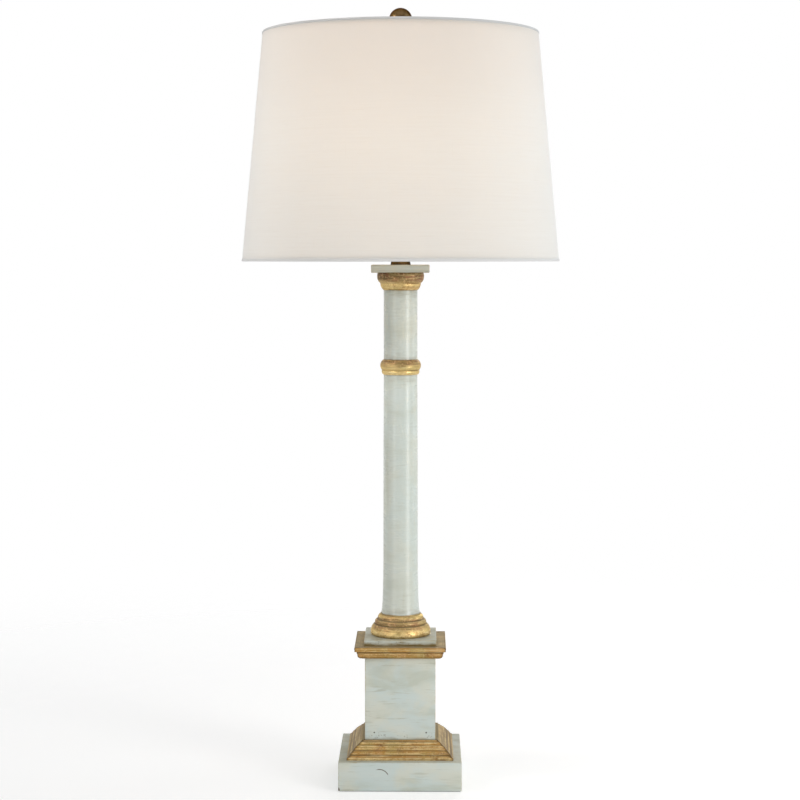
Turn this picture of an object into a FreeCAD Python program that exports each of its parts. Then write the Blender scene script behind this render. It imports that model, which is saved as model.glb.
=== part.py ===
import FreeCAD, Part
import math
import os

import Sketcher

# Column table lamp with a tapered drum shade, in millimetres. +Z is up, -Y is the front, and the
# origin is the middle of the felt's underside.

doc = FreeCAD.newDocument("column_lamp")
sizes = doc.addObject("Spreadsheet::Sheet", "sizes")
levels = doc.addObject("Spreadsheet::Sheet", "levels")

SIZES = {
    # slab, felt and what the slab holds
    "felt_thickness": 1.5,
    "felt_inset": 1.5,
    "plinth_side": 146.0,
    "plinth_height": 33.6,
    "plinth_arris": 1.2,
    "recess_radius": 52.0,
    "recess_depth": 24.0,
    "ballast_thickness": 12.0,
    "ballast_gap": 0.5,
    "ballast_hole_radius": 22.0,
    "bushing_bore_radius": 3.2,
    "bushing_wall": 1.3,
    "bushing_length": 14.0,
    "bushing_flange_reach": 1.6,
    "bushing_flange_thickness": 1.5,
    "bushing_rise": 6.5,
    # pedestal box and its mouldings
    "pedestal_side": 84.0,
    "pedestal_height": 118.4,
    "board_thickness": 14.0,
    "brad_radius": 0.9,
    "brad_length": 22.0,
    "brad_inset": 11.0,
    "brad_rise": 28.5,
    "brad_sink": 0.3,
    "moulding_reach": 21.25,
    "moulding_height": 20.1,
    "cornice_reach": 12.4,
    "cornice_height": 14.5,
    # column, from the square block up to the abacus
    "block_side": 86.0,
    "block_height": 6.8,
    "column_base_radius": 36.3,
    "column_base_height": 26.2,
    "shaft_foot_radius": 23.4,
    "shaft_waist_radius": 20.8,
    "shaft_neck_radius": 20.2,
    "lower_shaft_height": 288.5,
    "collar_radius": 24.7,
    "collar_height": 18.0,
    "upper_shaft_height": 83.0,
    "capital_radius": 28.0,
    "capital_height": 20.8,
    "abacus_side": 68.9,
    "abacus_height": 9.3,
    "small_arris": 0.8,
    # threaded pipe and its fasteners
    "pipe_radius": 5.0,
    "pipe_bore_radius": 3.6,
    "pipe_clearance": 0.5,
    "pipe_tail": 2.5,
    "pipe_reach_in_socket": 7.0,
    "washer_radius": 16.0,
    "washer_thickness": 2.0,
    "lock_washer_radius": 8.5,
    "lock_washer_thickness": 1.2,
    "nut_across_flats": 15.0,
    "nut_height": 5.0,
    # neck cap, saddle and harp
    "neck_cap_radius": 11.9,
    "neck_cap_height": 10.0,
    "saddle_thickness": 1.6,
    "saddle_width": 12.0,
    "saddle_half_span": 26.0,
    "saddle_rise": 12.0,
    "prong_length": 8.0,
    "harp_wire_radius": 2.0,
    "harp_height": 254.0,
    "harp_half_width": 57.0,
    "harp_straight": 20.0,
    "harp_flare": 70.0,
    "harp_shoulder_radius": 45.0,
    "crown_radius": 7.0,
    "sleeve_length": 14.0,
    "sleeve_wall": 1.5,
    "sleeve_gap": 0.2,
    "running_gap": 0.06,
    "stud_shank_radius": 2.2,
    "stud_head_radius": 3.6,
    "stud_head_thickness": 1.2,
    "stud_play": 0.2,
    "seat_radius": 8.0,
    "seat_thickness": 1.6,
    "stud_thread_radius": 3.1,
    "stud_thread_length": 17.0,
    # socket and switch
    "socket_cap_radius": 17.3,
    "socket_cap_height": 20.0,
    "socket_hub_radius": 7.5,
    "socket_hub_height": 7.6,
    "socket_wall": 0.7,
    "shell_lap": 5.0,
    "shell_height": 50.0,
    "insulator_wall": 0.6,
    "insulator_gap": 0.2,
    "interior_rise": 4.0,
    "interior_radius": 14.2,
    "interior_height": 24.0,
    "interior_flat": 12.4,
    "terminal_radius": 2.8,
    "terminal_thickness": 1.8,
    "screw_shell_bore": 13.3,
    "screw_shell_wall": 0.5,
    "contact_radius": 4.0,
    "contact_height": 2.4,
    "set_screw_radius": 1.4,
    "set_screw_length": 5.0,
    "spindle_radius": 2.0,
    "spindle_length": 26.0,
    "spindle_clearance": 0.6,
    "knob_radius": 6.5,
    "knob_length": 13.0,
    "knob_gap": 2.0,
    # bulb
    "bulb_gap": 0.3,
    "bulb_tip_radius": 4.5,
    "bulb_tip_height": 2.4,
    "bulb_cap_radius": 13.0,
    "bulb_cap_height": 24.0,
    "bulb_cap_wall": 0.6,
    "bulb_radius": 30.0,
    "bulb_height": 84.0,
    "bulb_wall": 0.9,
    # shade and its fitter
    "shade_bottom_radius": 188.8,
    "shade_top_radius": 163.2,
    "shade_height": 269.0,
    "linen_thickness": 0.5,
    "liner_thickness": 0.5,
    "trim_thickness": 0.5,
    "trim_height": 3.6,
    "trim_turn_in": 2.6,
    "ring_drop": 4.5,
    "ring_wire_radius": 1.5,
    "spider_recess": 8.0,
    "spider_washer_radius": 13.0,
    "spider_washer_thickness": 1.6,
    "spider_hole_radius": 3.6,
    "spider_wire_radius": 1.6,
    "spider_arm_start": 9.5,
    # finial
    "finial_ball_radius": 13.0,
    "finial_neck_height": 12.7,
    "finial_foot_radius": 8.0,
    "finial_bore_depth": 16.2,
}

LEVELS = {
    "plinth_foot": "sizes.felt_thickness",
    "plinth_top": "plinth_foot + sizes.plinth_height",
    "recess_top": "plinth_foot + sizes.recess_depth",
    "bushing_axis": "plinth_foot + sizes.bushing_rise",
    "ballast_foot": "recess_top - sizes.ballast_thickness",
    "washer_foot": "recess_top - sizes.washer_thickness",
    "lock_washer_foot": "washer_foot - sizes.lock_washer_thickness",
    "nut_foot": "lock_washer_foot - sizes.nut_height",
    "pipe_foot": "nut_foot - sizes.pipe_tail",
    "brad_axis": "plinth_top + sizes.brad_rise",
    "pedestal_head": "plinth_top + sizes.pedestal_height",
    "cornice_top": "pedestal_head + sizes.cornice_height",
    "block_top": "cornice_top + sizes.block_height",
    "lower_shaft_foot": "block_top + sizes.column_base_height",
    "collar_foot": "lower_shaft_foot + sizes.lower_shaft_height",
    "upper_shaft_foot": "collar_foot + sizes.collar_height",
    "capital_foot": "upper_shaft_foot + sizes.upper_shaft_height",
    "abacus_foot": "capital_foot + sizes.capital_height",
    "neck_cap_foot": "abacus_foot + sizes.abacus_height",
    "saddle_foot": "neck_cap_foot + sizes.neck_cap_height",
    "socket_foot": "saddle_foot + sizes.saddle_thickness",
    "pipe_top": "socket_foot + sizes.pipe_reach_in_socket",
    "arm_top": "saddle_foot + sizes.saddle_rise",
    "prong_top": "arm_top + sizes.prong_length",
    "sleeve_foot": "arm_top + sizes.sleeve_gap",
    "harp_straight_top": "prong_top + sizes.harp_straight",
    "harp_flare_top": "harp_straight_top + sizes.harp_flare",
    "seat_top": "saddle_foot + sizes.harp_height",
    "seat_foot": "seat_top - sizes.seat_thickness",
    "harp_crown": "seat_foot - sizes.harp_wire_radius",
    "shell_foot": "socket_foot + sizes.socket_cap_height - sizes.shell_lap",
    "interior_foot": "shell_foot + sizes.interior_rise",
    "interior_top": "interior_foot + sizes.interior_height",
    "switch_axis": "interior_foot + sizes.interior_height / 2",
    "set_screw_axis": "socket_foot + sizes.socket_hub_height / 2",
    "shell_top": "shell_foot + sizes.shell_height",
    "bulb_foot": "interior_top + sizes.contact_height + sizes.bulb_gap",
    "bulb_cap_foot": "bulb_foot + sizes.bulb_tip_height",
    "bulb_glass_foot": "bulb_cap_foot + sizes.bulb_cap_height",
    "spider_top": "seat_top + sizes.spider_washer_thickness",
    "shade_top": "spider_top + sizes.spider_recess",
    "shade_foot": "shade_top - sizes.shade_height",
    "ring_top": "shade_top - sizes.ring_drop",
    "ring_foot": "shade_foot + sizes.ring_drop",
}

for row, (alias, number) in enumerate(SIZES.items(), start=1):
    sizes.set(f"A{row}", alias)
    sizes.set(f"B{row}", repr(number))
    sizes.setAlias(f"B{row}", alias)
for row, (alias, formula) in enumerate(LEVELS.items(), start=1):
    levels.set(f"A{row}", alias)
    levels.set(f"B{row}", "=" + formula)
    levels.setAlias(f"B{row}", alias)
doc.recompute()

QUARTER_CIRCLE_share = 0.2071  # rise of a quarter circle's arc over its chord
sub_parts = []


def value(expression):
    return float(levels.evalExpression(str(expression)))


def new_body(label):
    body = doc.addObject("PartDesign::Body", label)
    body.Label = label
    sub_parts.append(body)
    return body


def seat(piece, across="0", back="0", up="0"):
    for axis, expression in (("x", across), ("y", back), ("z", up)):
        if expression != "0":
            piece.setExpression("Placement.Base." + axis, expression)


def turn_about(piece, axis, degrees):
    piece.Placement.Rotation = FreeCAD.Rotation(FreeCAD.Vector(*axis), degrees)


def new_sketch(body, name, plane, lift="0"):
    sketch = body.newObject("Sketcher::SketchObject", name)
    origin_planes = [face for face in body.Origin.OriginFeatures if face.Role == plane]
    sketch.AttachmentSupport = (origin_planes[0], [""])
    sketch.MapMode = "FlatFace"
    if lift != "0":
        sketch.setExpression("AttachmentOffset.Base.z", lift)
    return sketch


def bind(sketch, kind, target, number, expression):
    if kind == "Radius":
        constraint = Sketcher.Constraint(kind, target[0], number)
    else:
        constraint = Sketcher.Constraint(kind, -1, 1, target[0], target[1], number)
    index = sketch.addConstraint(constraint)
    sketch.setExpression(f"Constraints[{index}]", expression)


def pin_down(sketch, target, across, up):
    for kind, axis, expression in (("DistanceX", -2, across), ("DistanceY", -1, up)):
        if expression == "0":
            sketch.addConstraint(Sketcher.Constraint("PointOnObject", target[0], target[1], axis))
        else:
            bind(sketch, kind, target, value(expression), expression)


def trace(sketch, corners, closed=True):
    """Draw straight and arc edges from corner to corner.

    A corner is (across, up) or (across, up, bulge). The bulge is the rise of the edge that leaves
    the corner, as a share of its chord: over 0 it bows to the right of the way it is drawn.
    """
    corners = [tuple(corner) + ("0",) * (3 - len(corner)) for corner in corners]
    spots = [FreeCAD.Vector(value(across), value(up), 0) for across, up, bulge in corners]
    edges = []
    for here, corner in enumerate(corners if closed else corners[:-1]):
        there = (here + 1) % len(corners)
        start, end = spots[here], spots[there]
        bulge = value(corner[2])
        if bulge == 0:
            edge = sketch.addGeometry(Part.LineSegment(start, end), False)
            edges.append(((edge, 1), (edge, 2)))
            continue
        run = end.sub(start)
        middle = start.add(end).multiply(0.5)
        middle = middle.add(FreeCAD.Vector(run.y, -run.x, 0).multiply(bulge))
        edge = sketch.addGeometry(Part.Arc(start, middle, end), False)
        near = sketch.getPoint(edge, 1).distanceToPoint(start)
        far = sketch.getPoint(edge, 2).distanceToPoint(start)
        first, last = (1, 2) if near < far else (2, 1)
        edges.append(((edge, first), (edge, last)))
    for here, (first, last) in enumerate(edges):
        across, up, bulge = corners[here]
        following = (here + 1) % len(corners)
        if following < len(edges):
            joint = last + edges[following][0]
            sketch.addConstraint(Sketcher.Constraint("Coincident", *joint))
        pin_down(sketch, first, across, up)
        if value(bulge) != 0:
            run = f"sqrt(({corners[following][0]} - ({across})) ^ 2"
            run += f" + ({corners[following][1]} - ({up})) ^ 2)"
            radius = f"{run} * (1 / (8 * abs({bulge})) + abs({bulge}) / 2)"
            bind(sketch, "Radius", first, value(radius), radius)
    if not closed:
        pin_down(sketch, edges[-1][1], corners[-1][0], corners[-1][1])


def add_circle(sketch, radius, across="0", up="0"):
    centre = FreeCAD.Vector(value(across), value(up), 0)
    circle = sketch.addGeometry(Part.Circle(centre, FreeCAD.Vector(0, 0, 1), value(radius)), False)
    bind(sketch, "Radius", (circle, 3), value(radius), radius)
    if across == "0" and up == "0":
        sketch.addConstraint(Sketcher.Constraint("Coincident", circle, 3, -1, 1))
    else:
        pin_down(sketch, (circle, 3), across, up)


def add_rectangle(sketch, half_across, low, high):
    trace(sketch, [(f"-({half_across})", low), (half_across, low), (half_across, high),
                   (f"-({half_across})", high)])


def spin(body, sketch):
    feature = body.newObject("PartDesign::Revolution", body.Label + "_spin")
    feature.Profile = sketch
    feature.ReferenceAxis = (sketch, ["V_Axis"])
    feature.Angle = 360
    return feature


def turned(label, up, *loops):
    """A piece made on a lathe: each loop is a half section, with its radius across."""
    body = new_body(label)
    sketch = new_sketch(body, label + "_section", "XZ_Plane")
    for corners in loops:
        trace(sketch, corners)
    spin(body, sketch)
    seat(body, up=up)
    return body


def tube(label, up, outer, inner, height):
    return turned(label, up, [(inner, "0"), (outer, "0"), (outer, height), (inner, height)])


def pad(body, sketch, length, symmetric=False):
    feature = body.newObject("PartDesign::Pad", sketch.Name + "_pad")
    feature.Profile = sketch
    if symmetric:
        feature.SideType = "Symmetric"
    feature.setExpression("Length", length)
    return feature


def cut_both_ways(body, sketch, length=None):
    """Cut to both sides of the sketch, right through or over the whole length given."""
    doc.recompute()
    feature = body.newObject("PartDesign::Pocket", sketch.Name + "_cut")
    feature.Profile = sketch
    feature.SideType = "Symmetric"
    if length is None:
        feature.Type = "ThroughAll"
    else:
        feature.setExpression("Length", length)
    return feature


def soften(body, radius, wanted):
    """Round the edges of the body's last feature that the wanted test picks."""
    doc.recompute()
    base = body.Tip
    names = [f"Edge{number}" for number, edge in enumerate(base.Shape.Edges, start=1) if wanted(edge)]
    feature = body.newObject("PartDesign::Fillet", body.Label + "_arris")
    feature.Base = (base, names)
    feature.setExpression("Radius", radius)
    return feature


def square_slab(label, side, height, up, hole=None):
    body = new_body(label)
    sketch = new_sketch(body, label + "_plan", "XY_Plane")
    add_rectangle(sketch, f"({side}) / 2", f"-({side}) / 2", f"({side}) / 2")
    if hole:
        add_circle(sketch, hole)
    pad(body, sketch, height)
    seat(body, up=up)
    return body


PIPE_HOLE = "sizes.pipe_radius + sizes.pipe_clearance"


# Slab: felt, painted wooden slab with a round recess, iron ballast and the bushing of the inlet
square_slab("felt_pad", "sizes.plinth_side - 2 * sizes.felt_inset", "sizes.felt_thickness", "0")

base_plinth = square_slab("base_plinth", "sizes.plinth_side", "sizes.plinth_height",
                          "levels.plinth_foot", PIPE_HOLE)
recess_plan = new_sketch(base_plinth, "recess_plan", "XY_Plane")
add_circle(recess_plan, "sizes.recess_radius")
cut_both_ways(base_plinth, recess_plan, "2 * sizes.recess_depth")
inlet_plan = new_sketch(base_plinth, "inlet_plan", "XZ_Plane", "-sizes.plinth_side / 2")
BUSHING_RADIUS = "(sizes.bushing_bore_radius + sizes.bushing_wall)"
add_circle(inlet_plan, BUSHING_RADIUS, "0", "sizes.bushing_rise")
cut_both_ways(base_plinth, inlet_plan, "2 * (sizes.plinth_side / 2 - sizes.recess_radius * 0.9)")


def slab_arris(edge):
    half = value("sizes.plinth_side") / 2
    top = value("sizes.plinth_height")
    centre = edge.BoundBox.Center
    on_top = abs(edge.BoundBox.ZMin - top) < half * 0.001
    on_corner = abs(abs(centre.x) - half) + abs(abs(centre.y) - half) < half * 0.001
    on_rim = abs(max(abs(centre.x), abs(centre.y)) - half) < half * 0.001
    return edge.Curve.TypeId == "Part::GeomLine" and (on_corner or (on_top and on_rim))


soften(base_plinth, "sizes.plinth_arris", slab_arris)

tube("ballast_weight", "levels.ballast_foot", "sizes.recess_radius - sizes.ballast_gap",
     "sizes.ballast_hole_radius", "sizes.ballast_thickness")

FLANGE = f"{BUSHING_RADIUS} + sizes.bushing_flange_reach"
cord_bushing = turned("cord_bushing", "levels.bushing_axis", [
    ("sizes.bushing_bore_radius", "-sizes.bushing_length"),
    (BUSHING_RADIUS, "-sizes.bushing_length"),
    (BUSHING_RADIUS, "0"),
    (FLANGE, "0"),
    (FLANGE, "sizes.bushing_flange_thickness"),
    ("sizes.bushing_bore_radius", "sizes.bushing_flange_thickness"),
])
turn_about(cord_bushing, (1, 0, 0), -90)
seat(cord_bushing, back="sizes.plinth_side / 2")


# Mitred mouldings: one strip for each side of the pedestal, glued round the box
def mitred_frame(label, inner, reach, height, up, profile_shares):
    for name, degrees in (("front", 0), ("right", 90), ("back", 180), ("left", 270)):
        body = new_body(f"{label}_{name}")
        section = new_sketch(body, body.Label + "_section", "YZ_Plane")
        corners = []
        for reach_share, height_share, bulge in profile_shares:
            corners.append((f"-({inner}) - {reach} * {reach_share}", f"{height} * {height_share}",
                            str(bulge)))
        trace(section, corners)
        pad(body, section, f"2 * ({inner} + {reach})", symmetric=True)
        mitre = new_sketch(body, body.Label + "_mitre", "XY_Plane")
        low, high = f"({inner} - {reach} / 2)", f"({inner} + {reach} * 3 / 2)"
        for side in ("", "-"):
            trace(mitre, [(f"{side}{low}", f"-{low}"), (f"{side}{high}", f"-{high}"),
                          (f"{side}{high}", f"-{low}")])
        cut_both_ways(body, mitre)
        turn_about(body, (0, 0, 1), degrees)
        seat(body, up=up)


MOULDING_profile_shares = [
    (0, 0, 0), (1.0, 0, 0), (1.0, 0.14, 0), (0.9, 0.16, 0.16), (0.75, 0.43, 0), (0.66, 0.45, 0.16),
    (0.5, 0.64, 0), (0.38, 0.68, -0.12), (0.17, 0.93, 0), (0.17, 1.0, 0), (0, 1.0, 0),
]
CORNICE_profile_shares = [
    (0, 0, 0), (0.3, 0, 0), (0.3, 0.08, 0.2), (0.68, 0.48, 0), (0.78, 0.5, 0), (0.78, 0.64, 0),
    (0.98, 0.67, 0.06), (1.0, 0.97, 0), (0.97, 1.0, 0), (0, 1.0, 0),
]
PEDESTAL_HALF = "sizes.pedestal_side / 2"
mitred_frame("base_moulding", PEDESTAL_HALF, "sizes.moulding_reach", "sizes.moulding_height",
             "levels.plinth_top", MOULDING_profile_shares)


# Pedestal box: four boards, nailed at the corners, closed by a top board
def pedestal_board(name, half_width, degrees):
    body = new_body("pedestal_" + name)
    plan = new_sketch(body, body.Label + "_plan", "XY_Plane")
    add_rectangle(plan, half_width, "-sizes.board_thickness / 2", "sizes.board_thickness / 2")
    pad(body, plan, "sizes.pedestal_height")
    turn_about(body, (0, 0, 1), degrees)
    offset = "(sizes.pedestal_side - sizes.board_thickness) / 2"
    spot = {0: ("0", "-" + offset), 90: (offset, "0"), 180: ("0", offset), 270: ("-" + offset, "0")}
    seat(body, spot[degrees][0], spot[degrees][1], "levels.plinth_top")
    return body


BRAD_OFFSET = f"({PEDESTAL_HALF} - sizes.brad_inset)"
SIDE_BOARD_HALF = "(sizes.pedestal_side / 2 - sizes.board_thickness)"
for board_name, board_turn in (("front", 0), ("back", 180)):
    board = pedestal_board(board_name, PEDESTAL_HALF, board_turn)
    holes = new_sketch(board, board.Label + "_brad_holes", "XZ_Plane")
    add_circle(holes, "sizes.brad_radius", BRAD_OFFSET, "sizes.brad_rise")
    add_circle(holes, "sizes.brad_radius", "-" + BRAD_OFFSET, "sizes.brad_rise")
    cut_both_ways(board, holes)
for board_name, board_turn in (("right", 90), ("left", 270)):
    board = pedestal_board(board_name, SIDE_BOARD_HALF, board_turn)
    for end in ("", "-"):
        holes = new_sketch(board, board.Label + "_brad_hole" + end, "YZ_Plane",
                           end + SIDE_BOARD_HALF)
        add_circle(holes, "sizes.brad_radius", "sizes.brad_inset - sizes.board_thickness / 2",
                   "sizes.brad_rise")
        cut_both_ways(board, holes,
                      "2 * (sizes.brad_length + sizes.brad_sink - sizes.board_thickness)")

brads = []
for side in (1, -1):
    for end in (1, -1):
        brad = doc.addObject("Part::Cylinder", "brad")
        brad.setExpression("Radius", "sizes.brad_radius")
        brad.setExpression("Height", "sizes.brad_length")
        turn_about(brad, (1, 0, 0), 90 * end)
        seat(brad, f"{side} * {BRAD_OFFSET}", f"{end} * ({PEDESTAL_HALF} - sizes.brad_sink)",
             "levels.brad_axis")
        brads.append(brad)
pedestal_brads = doc.addObject("Part::Compound", "pedestal_brads")
pedestal_brads.Label = "pedestal_brads"
pedestal_brads.Links = brads
sub_parts.append(pedestal_brads)

square_slab("pedestal_top", "sizes.pedestal_side", "sizes.cornice_height", "levels.pedestal_head",
            PIPE_HOLE)
mitred_frame("cornice", PEDESTAL_HALF, "sizes.cornice_reach", "sizes.cornice_height",
             "levels.pedestal_head", CORNICE_profile_shares)


# Column: square block, turned base, shaft in two lengths with a ring between, capital and abacus
def column_piece(label, up, radius, height, outline_shares):
    """A turned piece of the column, bored for the pipe: radii and heights are shares."""
    corners = [(PIPE_HOLE, "0")]
    for radius_share, height_share, bulge in outline_shares:
        corners.append((f"{radius} * {radius_share}", f"{height} * {height_share}", str(bulge)))
    corners.append((PIPE_HOLE, height))
    return turned(label, up, corners)


square_slab("plinth_block", "sizes.block_side", "sizes.block_height", "levels.cornice_top",
            PIPE_HOLE)

COLUMN_BASE_outline_shares = [
    (0.86, 0, 0.33), (0.86, 0.53, 0), (0.82, 0.55, 0.24), (0.785, 0.736, 0), (0.76, 0.752, 0.17),
    (0.667, 0.973, 0), (0.667, 1.0, 0),
]
column_piece("column_base", "levels.block_top", "sizes.column_base_radius",
             "sizes.column_base_height", COLUMN_BASE_outline_shares)

turned("lower_shaft", "levels.lower_shaft_foot", [
    (PIPE_HOLE, "0"),
    ("sizes.shaft_foot_radius", "0", "-0.02"),
    ("sizes.shaft_waist_radius * 1.043", "sizes.lower_shaft_height * 0.062", "-0.004"),
    ("sizes.shaft_waist_radius", "sizes.lower_shaft_height * 0.24"),
    ("sizes.shaft_waist_radius * 0.99", "sizes.lower_shaft_height * 0.69"),
    ("sizes.shaft_neck_radius", "sizes.lower_shaft_height"),
    (PIPE_HOLE, "sizes.lower_shaft_height"),
])

COLLAR_outline_shares = [
    (0.845, 0, 0.14), (0.915, 0.26, 0), (0.9, 0.29, 0.23), (0.835, 1.0, 0),
]
column_piece("shaft_collar", "levels.collar_foot", "sizes.collar_radius", "sizes.collar_height",
             COLLAR_outline_shares)
tube("upper_shaft", "levels.upper_shaft_foot", "sizes.shaft_neck_radius", PIPE_HOLE,
     "sizes.upper_shaft_height")

CAPITAL_outline_shares = [
    (0.735, 0, 0.1), (0.865, 0.36, 0), (0.878, 0.41, 0.12), (1.0, 0.755, 0.06), (0.975, 1.0, 0),
]
column_piece("capital", "levels.capital_foot", "sizes.capital_radius", "sizes.capital_height",
             CAPITAL_outline_shares)

abacus = square_slab("abacus", "sizes.abacus_side", "sizes.abacus_height", "levels.abacus_foot",
                     PIPE_HOLE)
soften(abacus, "sizes.small_arris", lambda edge: edge.Curve.TypeId == "Part::GeomLine")


# Threaded pipe through the column, drawn tight by a nut and washers in the slab's recess
tube("lamp_pipe", "levels.pipe_foot", "sizes.pipe_radius", "sizes.pipe_bore_radius",
     "levels.pipe_top - levels.pipe_foot")
tube("base_washer", "levels.washer_foot", "sizes.washer_radius", PIPE_HOLE,
     "sizes.washer_thickness")
tube("lock_washer", "levels.lock_washer_foot", "sizes.lock_washer_radius", PIPE_HOLE,
     "sizes.lock_washer_thickness")

base_nut = new_body("base_nut")
nut_plan = new_sketch(base_nut, "nut_plan", "XY_Plane")
NUT_CORNER = "sizes.nut_across_flats / 2 / cos(30)"
trace(nut_plan, [(f"{NUT_CORNER} * cos({60 * corner + 30})", f"{NUT_CORNER} * sin({60 * corner + 30})")
                 for corner in range(6)])
add_circle(nut_plan, "sizes.pipe_radius")
pad(base_nut, nut_plan, "sizes.nut_height")
seat(base_nut, up="levels.nut_foot")


# Neck cap and harp: cap, saddle, bent wire with its crown, locking sleeves and threaded stud
turned("neck_cap", "levels.neck_cap_foot", [
    ("sizes.pipe_radius", "0"),
    ("sizes.neck_cap_radius", "0"),
    ("sizes.neck_cap_radius", "sizes.neck_cap_height * 0.1", "0.14"),
    ("sizes.neck_cap_radius * 0.66", "sizes.neck_cap_height * 0.9"),
    ("sizes.neck_cap_radius * 0.66", "sizes.neck_cap_height"),
    ("sizes.pipe_radius", "sizes.neck_cap_height"),
])

harp_saddle = new_body("harp_saddle")
saddle_section = new_sketch(harp_saddle, "saddle_section", "XZ_Plane")
OUT = "(sizes.saddle_half_span + sizes.saddle_thickness / 2)"
IN = "(sizes.saddle_half_span - sizes.saddle_thickness / 2)"
BEND_OUT = "(2 * sizes.saddle_thickness)"
bend = str(QUARTER_CIRCLE_share)
trace(saddle_section, [
    (f"-({OUT} - {BEND_OUT})", "0"),
    (f"{OUT} - {BEND_OUT}", "0", bend),
    (OUT, BEND_OUT),
    (OUT, "sizes.saddle_rise"),
    (IN, "sizes.saddle_rise"),
    (IN, BEND_OUT, "-" + bend),
    (f"{OUT} - {BEND_OUT}", "sizes.saddle_thickness"),
    (f"-({OUT} - {BEND_OUT})", "sizes.saddle_thickness", "-" + bend),
    (f"-{IN}", BEND_OUT),
    (f"-{IN}", "sizes.saddle_rise"),
    (f"-{OUT}", "sizes.saddle_rise"),
    (f"-{OUT}", BEND_OUT, bend),
])
pad(harp_saddle, saddle_section, "sizes.saddle_width", symmetric=True)
saddle_hole = new_sketch(harp_saddle, "saddle_hole", "XY_Plane")
add_circle(saddle_hole, PIPE_HOLE)
cut_both_ways(harp_saddle, saddle_hole)
prongs = new_sketch(harp_saddle, "prongs", "XY_Plane", "sizes.saddle_rise - sizes.saddle_thickness")
add_circle(prongs, "sizes.harp_wire_radius", "sizes.saddle_half_span")
add_circle(prongs, "sizes.harp_wire_radius", "-sizes.saddle_half_span")
pad(harp_saddle, prongs, "sizes.prong_length + sizes.saddle_thickness")
seat(harp_saddle, up="levels.saddle_foot")

harp_wire = new_body("harp_wire")
harp_path = new_sketch(harp_wire, "harp_path", "XZ_Plane")
FLARE_OUT = "((sizes.harp_half_width - sizes.saddle_half_span) / 2)"
FLARE_UP = "(sizes.harp_flare / 2)"
flare_bulge = f"((sqrt({FLARE_OUT} ^ 2 + {FLARE_UP} ^ 2) - {FLARE_UP}) / {FLARE_OUT} / 2)"
MID_OUT = f"(sizes.saddle_half_span + {FLARE_OUT})"
MID_UP = f"(levels.harp_straight_top + {FLARE_UP})"
SHOULDER = "(levels.harp_crown - sizes.harp_shoulder_radius)"
FLAT_TOP = "(sizes.harp_half_width - sizes.harp_shoulder_radius)"
trace(harp_path, [
    ("sizes.saddle_half_span", "levels.prong_top"),
    ("sizes.saddle_half_span", "levels.harp_straight_top", "-" + flare_bulge),
    (MID_OUT, MID_UP, flare_bulge),
    ("sizes.harp_half_width", "levels.harp_flare_top"),
    ("sizes.harp_half_width", SHOULDER, bend),
    (FLAT_TOP, "levels.harp_crown"),
    ("-" + FLAT_TOP, "levels.harp_crown", bend),
    ("-sizes.harp_half_width", SHOULDER),
    ("-sizes.harp_half_width", "levels.harp_flare_top", flare_bulge),
    ("-" + MID_OUT, MID_UP, "-" + flare_bulge),
    ("-sizes.saddle_half_span", "levels.harp_straight_top"),
    ("-sizes.saddle_half_span", "levels.prong_top"),
], closed=False)
wire_section = new_sketch(harp_wire, "wire_section", "XY_Plane", "levels.prong_top")
add_circle(wire_section, "sizes.harp_wire_radius", "sizes.saddle_half_span")
bent_wire = harp_wire.newObject("PartDesign::AdditivePipe", "bent_wire")
bent_wire.Profile = wire_section
bent_wire.Spine = (harp_path, [])
crown_plan = new_sketch(harp_wire, "crown_plan", "XY_Plane", "levels.harp_crown")
add_circle(crown_plan, "sizes.crown_radius")
pad(harp_wire, crown_plan, "2 * sizes.harp_wire_radius", symmetric=True)
crown_hole = new_sketch(harp_wire, "crown_hole", "XY_Plane", "levels.harp_crown")
add_circle(crown_hole, "sizes.stud_shank_radius + sizes.running_gap")
cut_both_ways(harp_wire, crown_hole, "4 * sizes.harp_wire_radius")

for side_name, side in (("left", "-"), ("right", "")):
    sleeve = tube("harp_sleeve_" + side_name, "levels.sleeve_foot",
                  "sizes.harp_wire_radius + sizes.sleeve_wall",
                  "sizes.harp_wire_radius + sizes.running_gap", "sizes.sleeve_length")
    seat(sleeve, across=side + "sizes.saddle_half_span")

HEAD_TOP = "(2 * sizes.harp_wire_radius + sizes.stud_play)"
turned("harp_stud", "levels.seat_foot", [
    ("0", f"-{HEAD_TOP} - sizes.stud_head_thickness"),
    ("sizes.stud_head_radius", f"-{HEAD_TOP} - sizes.stud_head_thickness"),
    ("sizes.stud_head_radius", f"-{HEAD_TOP}"),
    ("sizes.stud_shank_radius", f"-{HEAD_TOP}"),
    ("sizes.stud_shank_radius", "0"),
    ("sizes.seat_radius", "0"),
    ("sizes.seat_radius", "sizes.seat_thickness"),
    ("sizes.stud_thread_radius", "sizes.seat_thickness"),
    ("sizes.stud_thread_radius", "sizes.seat_thickness + sizes.stud_thread_length"),
    ("0", "sizes.seat_thickness + sizes.stud_thread_length"),
])


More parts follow.
